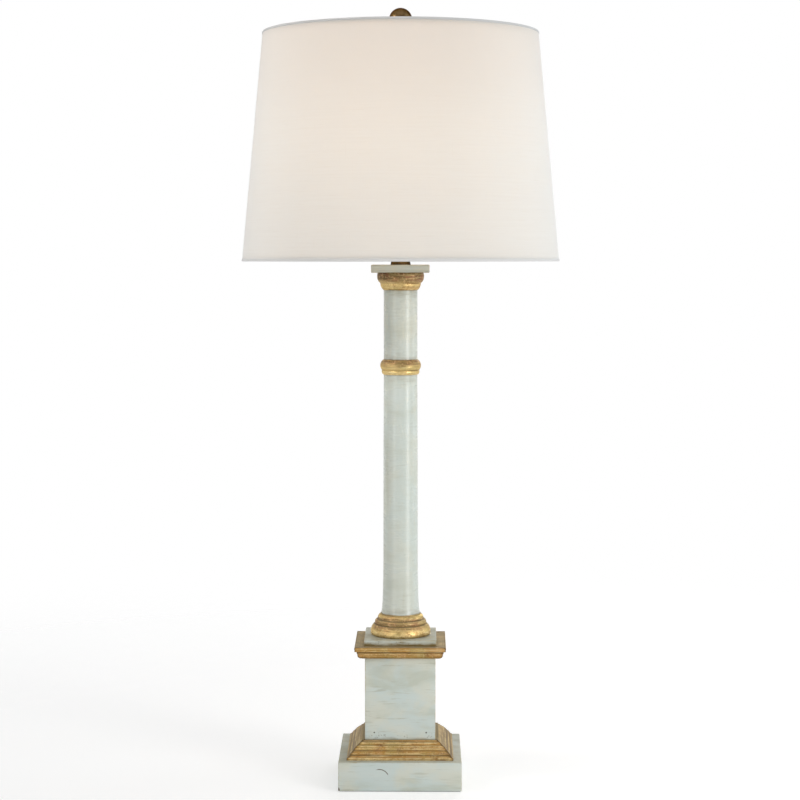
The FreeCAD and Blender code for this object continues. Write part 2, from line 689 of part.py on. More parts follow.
# Socket: cap on the pipe, shell, paper sleeve, moulded interior with the switch, screw shell
SHELL_OUTER = "(sizes.socket_cap_radius - sizes.socket_wall)"
SHELL_INNER = f"({SHELL_OUTER} - sizes.socket_wall)"
RIM_FOOT = "(sizes.socket_cap_height - sizes.shell_lap)"
socket_cap = turned("socket_cap", "levels.socket_foot", [
    ("sizes.pipe_radius", "0"),
    ("sizes.socket_hub_radius", "0"),
    ("sizes.socket_hub_radius", "sizes.socket_hub_height * 0.7", "0.16"),
    ("sizes.socket_cap_radius", RIM_FOOT),
    ("sizes.socket_cap_radius", "sizes.socket_cap_height"),
    (SHELL_OUTER, "sizes.socket_cap_height"),
    (SHELL_OUTER, RIM_FOOT, "-0.14"),
    ("sizes.socket_hub_radius", "sizes.socket_hub_height"),
    ("sizes.pipe_radius", "sizes.socket_hub_height"),
])
set_screw_plan = new_sketch(socket_cap, "set_screw_plan", "XZ_Plane", "-sizes.socket_hub_radius")
add_circle(set_screw_plan, "sizes.set_screw_radius", "0", "sizes.socket_hub_height / 2")
cut_both_ways(socket_cap, set_screw_plan, "2 * (sizes.socket_hub_radius - sizes.pipe_radius)")

cap_set_screw = doc.addObject("Part::Cylinder", "cap_set_screw")
cap_set_screw.setExpression("Radius", "sizes.set_screw_radius")
cap_set_screw.setExpression("Height", "sizes.set_screw_length")
turn_about(cap_set_screw, (1, 0, 0), -90)
seat(cap_set_screw, back="sizes.pipe_radius", up="levels.set_screw_axis")
sub_parts.append(cap_set_screw)

INSULATOR_OUTER = f"({SHELL_INNER} - sizes.insulator_gap)"
INSULATOR_INNER = f"({INSULATOR_OUTER} - sizes.insulator_wall)"
SPINDLE_HOLE = "sizes.spindle_radius + sizes.spindle_clearance"
socket_shell = tube("socket_shell", "levels.shell_foot", SHELL_OUTER, SHELL_INNER,
                    "sizes.shell_height")
socket_insulator = tube("socket_insulator", "levels.shell_foot", INSULATOR_OUTER, INSULATOR_INNER,
                        "sizes.shell_height")
for wall in (socket_shell, socket_insulator):
    opening = new_sketch(wall, wall.Label + "_spindle_hole", "XZ_Plane", SHELL_OUTER)
    add_circle(opening, SPINDLE_HOLE, "0", "levels.switch_axis - levels.shell_foot")
    cut_both_ways(wall, opening, SHELL_OUTER)

socket_interior = turned("socket_interior", "levels.interior_foot", [
    ("0", "0"),
    ("sizes.interior_radius", "0"),
    ("sizes.interior_radius", "sizes.interior_height"),
    ("0", "sizes.interior_height"),
])
flats = new_sketch(socket_interior, "flats", "XY_Plane")
for side in ("", "-"):
    trace(flats, [(f"{side}sizes.interior_flat", "-sizes.interior_radius"),
                  (f"{side}(sizes.interior_radius * 1.1)", "-sizes.interior_radius"),
                  (f"{side}(sizes.interior_radius * 1.1)", "sizes.interior_radius"),
                  (f"{side}sizes.interior_flat", "sizes.interior_radius")])
cut_both_ways(socket_interior, flats)
SPINDLE_SEAT = "(sizes.interior_radius / 3)"
spindle_bore = new_sketch(socket_interior, "spindle_bore", "XZ_Plane", "sizes.interior_radius")
add_circle(spindle_bore, "sizes.spindle_radius + sizes.running_gap", "0",
           "sizes.interior_height / 2")
cut_both_ways(socket_interior, spindle_bore, f"2 * (sizes.interior_radius - {SPINDLE_SEAT})")

screws = []
for side in (1, -1):
    screw = doc.addObject("Part::Cylinder", "terminal_screw")
    screw.setExpression("Radius", "sizes.terminal_radius")
    screw.setExpression("Height", "sizes.terminal_thickness")
    turn_about(screw, (0, 1, 0), 90 * side)
    seat(screw, f"{side} * sizes.interior_flat", up="levels.switch_axis")
    screws.append(screw)
terminal_screws = doc.addObject("Part::Compound", "terminal_screws")
terminal_screws.Label = "terminal_screws"
terminal_screws.Links = screws
sub_parts.append(terminal_screws)

SCREW_SHELL_OUTER = "(sizes.screw_shell_bore + sizes.screw_shell_wall)"
turned("socket_screw_shell", "levels.interior_top", [
    ("sizes.contact_radius * 1.4", "0"),
    (SCREW_SHELL_OUTER, "0"),
    (SCREW_SHELL_OUTER, "levels.shell_top - levels.interior_top"),
    ("sizes.screw_shell_bore", "levels.shell_top - levels.interior_top"),
    ("sizes.screw_shell_bore", "sizes.screw_shell_wall"),
    ("sizes.contact_radius * 1.4", "sizes.screw_shell_wall"),
])
turned("socket_contact", "levels.interior_top", [
    ("0", "0"),
    ("sizes.contact_radius", "0"),
    ("sizes.contact_radius", "sizes.contact_height * 0.4"),
    ("sizes.contact_radius / 2", "sizes.contact_height"),
    ("0", "sizes.contact_height"),
])

switch_spindle = turned("switch_spindle", "levels.switch_axis", [
    ("0", f"{SPINDLE_SEAT} + sizes.running_gap"),
    ("sizes.spindle_radius", f"{SPINDLE_SEAT} + sizes.running_gap"),
    ("sizes.spindle_radius", f"{SPINDLE_SEAT} + sizes.spindle_length"),
    ("0", f"{SPINDLE_SEAT} + sizes.spindle_length"),
])
turn_about(switch_spindle, (1, 0, 0), 90)
KNOB_FOOT = "(sizes.socket_cap_radius + sizes.knob_gap)"
GRIP_TOP = f"({SPINDLE_SEAT} + sizes.spindle_length)"
switch_knob = turned("switch_knob", "levels.switch_axis", [
    ("sizes.spindle_radius", KNOB_FOOT),
    ("sizes.knob_radius * 0.8", KNOB_FOOT),
    ("sizes.knob_radius", f"{KNOB_FOOT} + sizes.knob_length * 0.2"),
    ("sizes.knob_radius", f"{KNOB_FOOT} + sizes.knob_length * 0.85", "0.15"),
    ("sizes.knob_radius * 0.8", f"{KNOB_FOOT} + sizes.knob_length"),
    ("0", f"{KNOB_FOOT} + sizes.knob_length"),
    ("0", GRIP_TOP),
    ("sizes.spindle_radius", GRIP_TOP),
])
turn_about(switch_knob, (1, 0, 0), 90)


# Bulb: frosted glass, screw cap and centre contact
turned("bulb_contact", "levels.bulb_foot", [
    ("0", "0"),
    ("sizes.bulb_tip_radius * 0.6", "0"),
    ("sizes.bulb_tip_radius", "sizes.bulb_tip_height * 0.5"),
    ("sizes.bulb_tip_radius", "sizes.bulb_tip_height"),
    ("0", "sizes.bulb_tip_height"),
])
turned("bulb_cap", "levels.bulb_cap_foot", [
    ("0", "0"),
    ("sizes.bulb_cap_radius * 0.6", "0"),
    ("sizes.bulb_cap_radius", "sizes.bulb_cap_height * 0.15"),
    ("sizes.bulb_cap_radius", "sizes.bulb_cap_height"),
    ("sizes.bulb_cap_radius - sizes.bulb_cap_wall", "sizes.bulb_cap_height"),
    ("sizes.bulb_cap_radius - sizes.bulb_cap_wall", "sizes.bulb_cap_height * 0.2"),
    ("0", "sizes.bulb_cap_height * 0.2"),
])
SHOULDER_angle = 26.0  # degrees under the ball's equator, where the neck of the glass runs in
ball_share = math.cos(math.radians(SHOULDER_angle))
drop_share = math.sin(math.radians(SHOULDER_angle))
ball_bulge = math.tan(math.radians(90 + SHOULDER_angle) / 4) / 2
BALL_CENTRE = "(sizes.bulb_height - sizes.bulb_radius)"
INNER_BALL = "(sizes.bulb_radius - sizes.bulb_wall)"
turned("bulb_glass", "levels.bulb_glass_foot", [
    ("sizes.bulb_cap_radius - sizes.bulb_wall", "0"),
    ("sizes.bulb_cap_radius", "0"),
    ("sizes.bulb_cap_radius", "sizes.bulb_height * 0.05", "-0.04"),
    (f"sizes.bulb_radius * {ball_share}", f"{BALL_CENTRE} - sizes.bulb_radius * {drop_share}",
     str(ball_bulge)),
    ("0", "sizes.bulb_height"),
    ("0", "sizes.bulb_height - sizes.bulb_wall", str(-ball_bulge)),
    (f"{INNER_BALL} * {ball_share}", f"{BALL_CENTRE} - {INNER_BALL} * {drop_share}", "0.04"),
    ("sizes.bulb_cap_radius - sizes.bulb_wall", "sizes.bulb_height * 0.05"),
])


# Shade: spider fitter, two wire rings, stiff liner, linen and the folded bands of its edges
tube("spider_washer", "levels.seat_top", "sizes.spider_washer_radius", "sizes.spider_hole_radius",
     "sizes.spider_washer_thickness")


def shade_radius(up, inset):
    """Radius of the linen's outside at a height over the shade's foot, less an inset."""
    taper = "(sizes.shade_top_radius - sizes.shade_bottom_radius) / sizes.shade_height"
    return f"(sizes.shade_bottom_radius + {taper} * ({up}) - ({inset}))"


LINEN = "sizes.linen_thickness"
BACKED = "(sizes.linen_thickness + sizes.liner_thickness)"
RING_UP = "(sizes.shade_height - sizes.ring_drop)"
TOP_RING_RADIUS = shade_radius(RING_UP, f"{BACKED} + sizes.ring_wire_radius + sizes.trim_thickness")
FOOT_RING_RADIUS = shade_radius("sizes.ring_drop",
                                f"{BACKED} + sizes.ring_wire_radius + sizes.trim_thickness")

ARM_END = f"({TOP_RING_RADIUS} - sizes.ring_wire_radius)"
ARM_RUN = f"({ARM_END} - sizes.spider_arm_start)"
ARM_RISE = "(levels.ring_top - levels.spider_top - sizes.spider_wire_radius)"
for number, heading in enumerate((90, 210, 330), start=1):
    arm = doc.addObject("Part::Cylinder", f"spider_arm_{number}")
    arm.setExpression("Radius", "sizes.spider_wire_radius")
    arm.setExpression("Height", f"sqrt({ARM_RUN} ^ 2 + {ARM_RISE} ^ 2)")
    lift = math.degrees(math.atan2(value(ARM_RISE), value(ARM_RUN)))
    flat = FreeCAD.Rotation(FreeCAD.Vector(0, 1, 0), 90 - lift)
    around = FreeCAD.Rotation(FreeCAD.Vector(0, 0, 1), heading)
    arm.Placement.Rotation = around.multiply(flat)
    seat(arm, f"sizes.spider_arm_start * cos({heading})", f"sizes.spider_arm_start * sin({heading})",
         "levels.spider_top + sizes.spider_wire_radius")
    sub_parts.append(arm)

for ring_name, ring_radius, ring_level in (("top", TOP_RING_RADIUS, "levels.ring_top"),
                                           ("bottom", FOOT_RING_RADIUS, "levels.ring_foot")):
    ring = new_body(f"shade_{ring_name}_ring")
    ring_section = new_sketch(ring, ring.Label + "_section", "XZ_Plane")
    add_circle(ring_section, "sizes.ring_wire_radius", ring_radius)
    spin(ring, ring_section)
    seat(ring, up=ring_level)


def shade_wall(label, inset, thickness):
    deeper = f"{inset} + {thickness}"
    turned(label, "levels.shade_foot", [
        (shade_radius("0", deeper), "0"),
        (shade_radius("0", inset), "0"),
        (shade_radius("sizes.shade_height", inset), "sizes.shade_height"),
        (shade_radius("sizes.shade_height", deeper), "sizes.shade_height"),
    ])


shade_wall("shade_liner", LINEN, "sizes.liner_thickness")
shade_wall("shade_fabric", "0", LINEN)


def shade_trim(label, edge, inward):
    """A band folded over one edge of the shade: outside, over the edge and back up the inside."""
    out = f"{edge} + {inward} * sizes.trim_height"
    back = f"{edge} + {inward} * sizes.trim_turn_in"
    over = f"{edge} - {inward} * sizes.trim_thickness"
    proud = "-sizes.trim_thickness"
    deep = f"{BACKED} + sizes.trim_thickness"
    turned(label, "levels.shade_foot", [
        (shade_radius(out, proud), out),
        (shade_radius(over, proud), over),
        (shade_radius(over, deep), over),
        (shade_radius(back, deep), back),
        (shade_radius(back, BACKED), back),
        (shade_radius(edge, BACKED), edge),
        (shade_radius(edge, "0"), edge),
        (shade_radius(out, "0"), out),
    ])


shade_trim("shade_bottom_trim", "0", "1")
shade_trim("shade_top_trim", "sizes.shade_height", "-1")


# Finial: a brass ball on a turned neck, bored for the stud
BALL_UP = "(sizes.finial_neck_height + sizes.finial_ball_radius)"
NECK_angle = 63.0  # degrees under the ball's equator, where the neck meets it
neck_share = math.cos(math.radians(NECK_angle))
dip_share = math.sin(math.radians(NECK_angle))
finial_bulge = math.tan(math.radians(90 + NECK_angle) / 4) / 2
FINIAL_BORE = "(sizes.stud_thread_radius + sizes.running_gap)"
turned("finial", "levels.spider_top", [
    (FINIAL_BORE, "0"),
    ("sizes.finial_foot_radius", "0"),
    ("sizes.finial_foot_radius", "sizes.finial_neck_height * 0.2", "0.25"),
    ("sizes.finial_foot_radius * 0.7", "sizes.finial_neck_height * 0.45"),
    ("sizes.finial_foot_radius * 0.62", "sizes.finial_neck_height * 0.6", "-0.15"),
    (f"sizes.finial_ball_radius * {neck_share}", f"{BALL_UP} - sizes.finial_ball_radius * {dip_share}",
     str(finial_bulge)),
    ("0", f"{BALL_UP} + sizes.finial_ball_radius"),
    ("0", "sizes.finial_bore_depth"),
    (FINIAL_BORE, "sizes.finial_bore_depth"),
])

doc.recompute()
for feature in doc.Objects:
    if "Invalid" in feature.State or "Error" in feature.State:
        raise RuntimeError(f"{feature.Name} did not compute: {feature.State}")
for piece in sub_parts:
    if piece.Shape.isNull() or not piece.Shape.isValid():
        raise RuntimeError(f"{piece.Label} has no valid shape")

os.makedirs("parts", exist_ok=True)
for piece in sub_parts:
    piece.Shape.exportStep(f"parts/{piece.Label}.step")
    box = piece.Shape.optimalBoundingBox(False)
    print(f"{piece.Label}: {len(piece.Shape.Solids)} solid, {piece.Shape.Volume:.1f} mm3,"
          f" z {box.ZMin:.2f} to {box.ZMax:.2f}, x {box.XMin:.2f} to {box.XMax:.2f},"
          f" y {box.YMin:.2f} to {box.YMax:.2f}")
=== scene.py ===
from functools import partial
from math import atan, atan2, cos, exp, hypot, pi, radians, sin, sqrt, tan

import bmesh
import bpy
from mathutils import Matrix, Vector


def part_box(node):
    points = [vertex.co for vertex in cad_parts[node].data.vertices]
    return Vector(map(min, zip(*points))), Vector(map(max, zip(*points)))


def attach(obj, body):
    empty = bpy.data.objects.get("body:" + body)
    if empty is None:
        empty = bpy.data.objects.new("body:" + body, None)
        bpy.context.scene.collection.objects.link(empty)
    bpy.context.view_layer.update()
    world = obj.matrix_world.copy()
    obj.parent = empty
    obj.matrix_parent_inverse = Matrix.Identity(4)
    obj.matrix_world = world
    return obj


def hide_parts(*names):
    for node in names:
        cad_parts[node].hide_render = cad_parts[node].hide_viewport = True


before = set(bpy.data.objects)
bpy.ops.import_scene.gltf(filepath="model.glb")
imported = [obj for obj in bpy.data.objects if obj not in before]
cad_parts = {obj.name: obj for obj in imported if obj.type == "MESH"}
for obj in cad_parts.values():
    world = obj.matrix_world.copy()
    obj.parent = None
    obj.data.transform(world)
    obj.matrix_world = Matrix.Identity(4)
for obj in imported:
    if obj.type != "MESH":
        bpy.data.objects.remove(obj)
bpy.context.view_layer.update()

# Studio: the lamp stands on a pale floor that fades into a white room, between soft boxes.
# The camera has the photograph's height, distance and tilt, and the lamp's axis just right of centre.
scene = bpy.context.scene
link = scene.collection.objects.link
camera = bpy.data.objects.new("camera", bpy.data.cameras.new("camera"))
camera.data.sensor_width, camera.data.lens = 36, 90
camera.data.clip_start, camera.data.clip_end = 0.05, 60
camera_turn, camera_tilt, aim_aside = radians(0.63), radians(4.09), radians(0.017)
camera_distance, camera_height = 2.3945, 0.6298
camera.location = (camera_distance * sin(camera_turn), -camera_distance * cos(camera_turn), camera_height)
camera.rotation_euler = (pi / 2 - camera_tilt, 0, camera_turn + aim_aside)
link(camera)
scene.camera = camera
scene.view_settings.view_transform = "Standard"

for box_name, place, aim_up, (width, height), spread, watts, tint in [
        ("tall_box_right", (1.76, -1.47, 0.62), 0.5, (0.7, 1.8), 180, 25, (1, 0.995, 0.98)),
        ("tall_box_left", (-1.5, -1.75, 0.62), 0.5, (0.4, 1.8), 180, 7.2, (1, 0.995, 0.98)),
        ("side_box_right", (1.9, 0.35, 0.8), 0.5, (0.8, 1.5), 180, 4, (0.93, 0.97, 1)),
        ("shade_box_left", (-1.6, -0.6, 1.75), 0.73, (0.5, 0.4), 34, 0.66, (1, 0.975, 0.94)),
        ("shade_box_right", (1.6, -0.6, 1.75), 0.73, (0.5, 0.4), 34, 0.1, (0.45, 0.8, 1)),
        ("back_box", (0.5, 2.1, 1.2), 0.5, (1.4, 1), 180, 12, (1, 1, 1))]:
    light = bpy.data.lights.new(box_name, "AREA")
    light.shape, light.size, light.size_y = "RECTANGLE", width, height
    light.spread, light.energy, light.color = radians(spread), watts, tint
    soft_box = bpy.data.objects.new(box_name, light)
    soft_box.location = place
    soft_box.rotation_euler = (Vector((0, 0, aim_up)) - Vector(place)).to_track_quat("-Z", "Y").to_euler()
    link(soft_box)


NodeSocket = bpy.types.NodeSocket


def add_node(kind, wires=None, tree=None, **settings):
    """A shader node, its inputs wired to sockets or set to values, in the given tree or in theirs."""
    wires = wires or {}
    tree = tree or next(given.id_data for given in wires.values() if isinstance(given, NodeSocket))
    made = tree.nodes.new("ShaderNode" + kind)
    for name, setting in settings.items():
        setattr(made, name, setting)
    for label, given in wires.items():
        socket = made.inputs[label]
        if isinstance(given, NodeSocket):
            tree.links.new(given, socket)
        else:
            socket.default_value = (*given, 1) if socket.type == "RGBA" and len(given) == 3 else given
    return made


def reckon(operation, *terms):
    return add_node("Math", dict(enumerate(terms)), operation=operation).outputs[0]


plus, less, times, fused, most = (
    partial(reckon, operation) for operation in ("ADD", "SUBTRACT", "MULTIPLY", "MULTIPLY_ADD", "MAXIMUM"))


def ramp(amount, low, high, start=0, end=1):
    """The amount taken smoothly from start to end as it goes from low to high."""
    wires = {"Value": amount, "From Min": low, "From Max": high, "To Min": start, "To Max": end}
    return add_node("MapRange", wires, interpolation_type="SMOOTHSTEP").outputs["Result"]


def blend(share, under, over):
    return add_node("Mix", {0: share, 6: under, 7: over}, data_type="RGBA").outputs[2]


def looked_at(tree):
    """1 for the rays that look at a thing, straight, in a reflection or through glass, else 0."""
    ray = add_node("LightPath", tree=tree).outputs
    return most(ray["Is Camera Ray"], most(ray["Is Glossy Ray"], ray["Is Transmission Ray"]))


def new_finish(name):
    """A material that is still bare, and its Object coordinates."""
    material = bpy.data.materials.new(name)
    material.use_nodes = True
    material.node_tree.nodes.clear()
    return material, add_node("TexCoord", tree=material.node_tree).outputs["Object"]


room = bpy.data.worlds.new("room")
room.use_nodes = True
room.node_tree.nodes.clear()
brightness = ramp(looked_at(room.node_tree), 0, 1, 0.47, 1)
sky = add_node("Background", {"Color": (1, 1, 1), "Strength": brightness})
add_node("OutputWorld", {"Surface": sky.outputs[0]})
scene.world = room

ground = bmesh.new()
bmesh.ops.create_circle(ground, cap_ends=True, segments=96, radius=2.2)
floor_mesh = bpy.data.meshes.new("floor")
ground.to_mesh(floor_mesh)
ground.free()
floor = bpy.data.objects.new("floor", floor_mesh)
link(floor)

floor_paint, spot = new_finish("pale_floor")
away = add_node("VectorMath", {0: spot}, operation="LENGTH").outputs["Value"]
mottle = add_node("TexNoise", {"Vector": spot, "Scale": 3}).outputs["Fac"]
matt = add_node("BsdfPrincipled", {
    "Base Color": blend(mottle, (0.8, 0.8, 0.8), (0.83, 0.83, 0.83)), "Roughness": 0.9})
lift = add_node("Emission", {"Color": (1, 1, 1), "Strength": times(looked_at(spot.id_data), 0.35)})
lifted = add_node("AddShader", {0: matt.outputs[0], 1: lift.outputs[0]})
clear = add_node("BsdfTransparent", tree=spot.id_data)
faded = add_node("MixShader", {0: ramp(away, 0.35, 1.6), 1: lifted.outputs[0], 2: clear.outputs[0]})
add_node("OutputMaterial", {"Surface": faded.outputs[0]})
floor_mesh.materials.append(floor_paint)


# Felt pad: a square of dark wool felt glued under the slab, so that the lamp doesn't scratch a table.
# Its cut edge is a little fluffy and rolls under.
def lay_on(colour, roughness, relief, depth, **plain):
    """The Principled shader that ends a material, bumped by its relief in metres."""
    bump = add_node("Bump", {"Height": relief, "Distance": depth})
    wires = {"Base Color": colour, "Roughness": roughness, "Normal": bump.outputs[0]}
    wires.update({label.replace("_", " "): given for label, given in plain.items()})
    shader = add_node("BsdfPrincipled", wires)
    add_node("OutputMaterial", {"Surface": shader.outputs[0]})
    return shader


def cloud(spot, size, detail=3, roughness=0.55, distortion=0):
    """Soft noise whose patches are about the given size in metres, a number or a socket."""
    scale = reckon("DIVIDE", 1, size) if isinstance(size, NodeSocket) else 1 / size
    return add_node("TexNoise", {"Vector": spot, "Scale": scale, "Detail": detail, "Roughness": roughness,
                                 "Distortion": distortion}).outputs["Fac"]


def hang(name, shape, material, node, body="lamp_base", sharp=34):
    """Put a finished shape in the lamp, with its material, the node it stands for and its body."""
    mesh = bpy.data.meshes.new(name)
    shape.to_mesh(mesh)
    shape.free()
    mesh.shade_smooth()
    mesh.set_sharp_from_angle(angle=radians(sharp))
    mesh.materials.append(material)
    piece = bpy.data.objects.new(name, mesh)
    link(piece)
    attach(piece, body)
    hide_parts(node)
    return piece


def soft_block(low, high, round_over, segments=3):
    """A block between two corners with all its edges rounded over."""
    block = bmesh.new()
    bmesh.ops.create_cube(block, size=1, matrix=Matrix.LocRotScale((low + high) / 2, None, high - low))
    bmesh.ops.bevel(block, geom=block.edges[:], offset=round_over, segments=segments, profile=0.5,
                    affect="EDGES", material=-1)
    return block


wool, spot = new_finish("wool_felt")
fibres = cloud(spot, 0.0012, 8, 0.75, 1.5)
green = blend(fibres, (0.012, 0.02, 0.015), (0.045, 0.06, 0.045))
green = blend(times(cloud(spot, 0.02, 2), 0.5), green, (0.05, 0.055, 0.04))
lay_on(green, ramp(fibres, 0, 1, 0.85, 1), fibres, 0.0006, Sheen_Weight=0.4, Sheen_Roughness=0.6)
hang("felt_under_slab", soft_block(*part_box("felt_pad"), 0.0006), wool, "felt_pad")


# Slab: a square of limewood, painted pale grey-green by brush, rubbed through along its arrises to the
# ochre ground and toned down with an olive-brown glaze. The column stands on it.
def new_group(name, **starts):
    """A shader node group of a Vector and further inputs with the values they start from."""
    group = bpy.data.node_groups.new(name, "ShaderNodeTree")
    for label, start in {"Vector": (0, 0, 0), **starts}.items():
        kind = "NodeSocketVector" if isinstance(start, tuple) else "NodeSocketFloat"
        group.interface.new_socket(label, in_out="INPUT", socket_type=kind).default_value = start
    given = group.nodes.new("NodeGroupInput").outputs
    return group, given["Vector"], given


def give_out(group, **made):
    """End a group: what it has made goes to outputs of those names."""
    for label in made:
        kind = "NodeSocketColor" if label == "Color" else "NodeSocketFloat"
        group.interface.new_socket(label, in_out="OUTPUT", socket_type=kind)
    end = group.nodes.new("NodeGroupOutput").inputs
    for label, socket in made.items():
        group.links.new(socket, end[label])


def use(group, spot, **given):
    """What a group puts out at a spot."""
    return add_node("Group", {"Vector": spot, **given}, node_tree=group).outputs


def split(vector):
    return add_node("SeparateXYZ", {0: vector}).outputs


def vectors(operation, *terms):
    return add_node("VectorMath", dict(enumerate(terms)), operation=operation).outputs[0]


stretched = partial(vectors, "MULTIPLY")


def scattered(spot, closeness):
    """How far off the nearest of some scattered points is, and a random number that is its own."""
    points = add_node("TexVoronoi", {"Vector": spot, "Scale": closeness}).outputs
    return points["Distance"], add_node("SeparateColor", {0: points["Color"]}).outputs[0]


def layered(colour, *coats):
    """A colour with coats laid over it in turn, each a share and a tint."""
    for share, tint in coats:
        colour = blend(share, colour, tint)
    return colour


near_arrises, spot, given = new_group("near_arrises", Centre=(0, 0, 0), Half=(1, 1, 1), Reach=0.002)
offset = vectors("ABSOLUTE", vectors("SUBTRACT", spot, given["Centre"]))
*flat, upright = split(vectors("SUBTRACT", given["Half"], offset))
second = most(reckon("MINIMUM", *flat), reckon("MINIMUM", most(*flat), upright))
ragged = ramp(cloud(spot, 0.012, 6, 0.7), 0.3, 0.7, 1.1, -0.4)
share = reckon("DIVIDE", fused(ragged, given["Reach"], second), given["Reach"])
give_out(near_arrises, Mask=ramp(share, 0.2, 1.5, 1, 0))

near_ends, spot, given = new_group("near_ends", Foot=0, Head=1, Reach=0.01)
height = split(spot)["Z"]
nearest = reckon("MINIMUM", less(height, given["Foot"]), less(given["Head"], height))
drift = cloud(stretched(spot, (1, 1, 3)), 0.03, 5, 0.65)
nearest = plus(reckon("DIVIDE", nearest, given["Reach"]), ramp(drift, 0.3, 0.7, 0.35, -0.45))
give_out(near_ends, Mask=ramp(nearest, 0, 1, 1, 0))

# Upward faces: a mask for a dull film of dust and for painted shade, which makes every top darker than the
# fronts.
upward_dust_and_shade, spot, given = new_group("upward_dust_and_painted_shade")
facing = split(add_node("NewGeometry", tree=upward_dust_and_shade).outputs["Normal"])["Z"]
wiped = ramp(cloud(spot, 0.014, 6, 0.68), 0.3, 0.7, 0.6, 1)
give_out(upward_dust_and_shade, Mask=times(ramp(facing, 0.75, 0.98), wiped))

aged_paint, spot, given = new_group("aged_paint", Strokes=(9, 9, 300), Streaks=1, Gloss=0, Glaze=0, Rubbed=0)
drawn = stretched(spot, given["Strokes"])
broad = cloud(stretched(drawn, (1, 1, 0.3)), 1, 4, 0.55, 0.35)
hairs = cloud(stretched(drawn, (2.2, 2.2, 2.6)), 1, 3, 0.6, 0.2)
washes = cloud(spot, 0.045, 4, 0.55, 0.4)
washed = fused(ramp(washes, 0.4, 0.6, -0.5, 0.5), given["Streaks"], 0.5)
off, lot = scattered(spot, 95)
speck = times(ramp(off, 0.05, 0.11, 1, 0), reckon("GREATER_THAN", lot, 0.95))
dust_and_shade = use(upward_dust_and_shade, spot)[0]
coat = layered(
    blend(washed, (0.585, 0.66, 0.63), (0.645, 0.665, 0.58)),
    (times(given["Streaks"], ramp(broad, 0.48, 0.72, 0, 0.8)), (0.49, 0.52, 0.43)),
    (ramp(broad, 0.5, 0.3, 0, 0.6), (0.64, 0.7, 0.665)),
    (times(given["Streaks"], ramp(hairs, 0.58, 0.75, 0, 0.5)), (0.38, 0.37, 0.27)),
    (times(given["Glaze"], ramp(hairs, 0.25, 0.6, 0.45, 1)), (0.2, 0.145, 0.05)),
    # Dust and painted shade: upward faces darker and browner than the fronts.
    (times(dust_and_shade, 0.7), (0.35, 0.325, 0.225)),
    (given["Rubbed"], (0.42, 0.34, 0.18)),
    (times(speck, 0.8), (0.08, 0.05, 0.025)))
sheen = fused(dust_and_shade, 0.4, less(ramp(broad, 0.3, 0.7, 0.3, 0.4), given["Gloss"]))
dents = fused(speck, -1, fused(washes, 2.5, fused(broad, 0.6, hairs)))
give_out(aged_paint, Color=coat, Roughness=fused(given["Rubbed"], 0.12, sheen),
         Relief=fused(given["Rubbed"], -0.5, dents))


def painted(name, low, high, ends, strokes, glaze_reach, glaze_share, toned=0, marks=None):
    """Brushed paint on a squared piece between two corners, glazed towards the heights of its ends."""
    material, spot = new_finish(name)
    rubbed = use(near_arrises, spot, Centre=(low + high) / 2, Half=(high - low) / 2, Reach=0.0006)[0]
    gathered = use(near_ends, spot, Foot=ends[0], Head=ends[1], Reach=glaze_reach)[0]
    gathered = fused(gathered, glaze_share, toned)
    paint = use(aged_paint, spot, Strokes=strokes, Glaze=gathered, Rubbed=rubbed)
    colour, relief = paint["Color"], paint["Relief"]
    if marks:
        mark = marks(spot)
        colour, relief = blend(mark, colour, (0.12, 0.095, 0.06)), less(relief, mark)
    lay_on(colour, paint["Roughness"], relief, 0.00022)
    return material


def slab_marks(spot):
    """A curved scratch and a chipped corner on the front of the slab."""
    off_axis, above_foot, curve, front, chipped = 0.0245, 0.0155, 0.0118, -0.07, (-0.0735, -0.0735, 0.0025)
    across, back, up = split(spot)
    aside, over = plus(across, off_axis), less(up, above_foot)
    radius = reckon("SQRT", plus(times(aside, aside), times(over, over)))
    ragged = times(cloud(spot, 0.004, 4, 0.7), 0.0008)
    off_line = reckon("ABSOLUTE", less(plus(radius, ragged), curve))
    heading = reckon("ARCTAN2", over, aside)
    scratch = times(ramp(off_line, 0.0002, 0.00075, 1, 0), ramp(heading, 0.35, 0.6))
    scratch = times(times(scratch, ramp(heading, 2, 1.6)), reckon("LESS_THAN", back, front))
    from_corner = add_node("VectorMath", {0: spot, 1: chipped}, operation="DISTANCE")
    chip = plus(from_corner.outputs["Value"], ragged)
    return most(scratch, ramp(chip, 0.0022, 0.0036, 1, 0))


def spatter(foot, reach):
    """Fine drops of glaze that thin out upwards from a height."""
    def marks(spot):
        off, lot = scattered(spot, 620)
        odds = times(ramp(split(spot)["Z"], foot, foot + reach, 0.55, 0), ramp(cloud(spot, 0.018), 0.42, 0.6))
        return times(ramp(off, 0.2, 0.42, 0.75, 0), reckon("LESS_THAN", lot, odds))
    return marks


slab_low, slab_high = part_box("base_plinth")
slab_paint = painted("slab_paint", slab_low - Vector((0, 0, 0.02)), slab_high, (-0.1, slab_high.z),
                     (11, 11, 170), 0.002, 0.12, marks=slab_marks)
skirt = Vector((0, 0, 0.0009))
hang("slab", soft_block(slab_low - skirt, slab_high, 0.0012, 4), slab_paint, "base_plinth")


# Inside the slab: a cast-iron ring for weight, and the washers and nut that draw the threaded pipe
# tight through the whole column. The plated steel is bright, the casting rough and dark.
tarnish, spot, given = new_group("tarnish", Patch=0.02, Grain=0.0008)
patches = cloud(spot, given["Patch"], 6, 0.62, 0.3)
scuffs = cloud(stretched(spot, (60, 60, 900)), 1, 2, 0.5, 0.6)
give_out(tarnish, Patches=ramp(patches, 0.38, 0.64), Scuffs=ramp(scuffs, 0.6, 0.72),
         Relief=fused(patches, 2, cloud(spot, given["Grain"], 3, 0.6)))


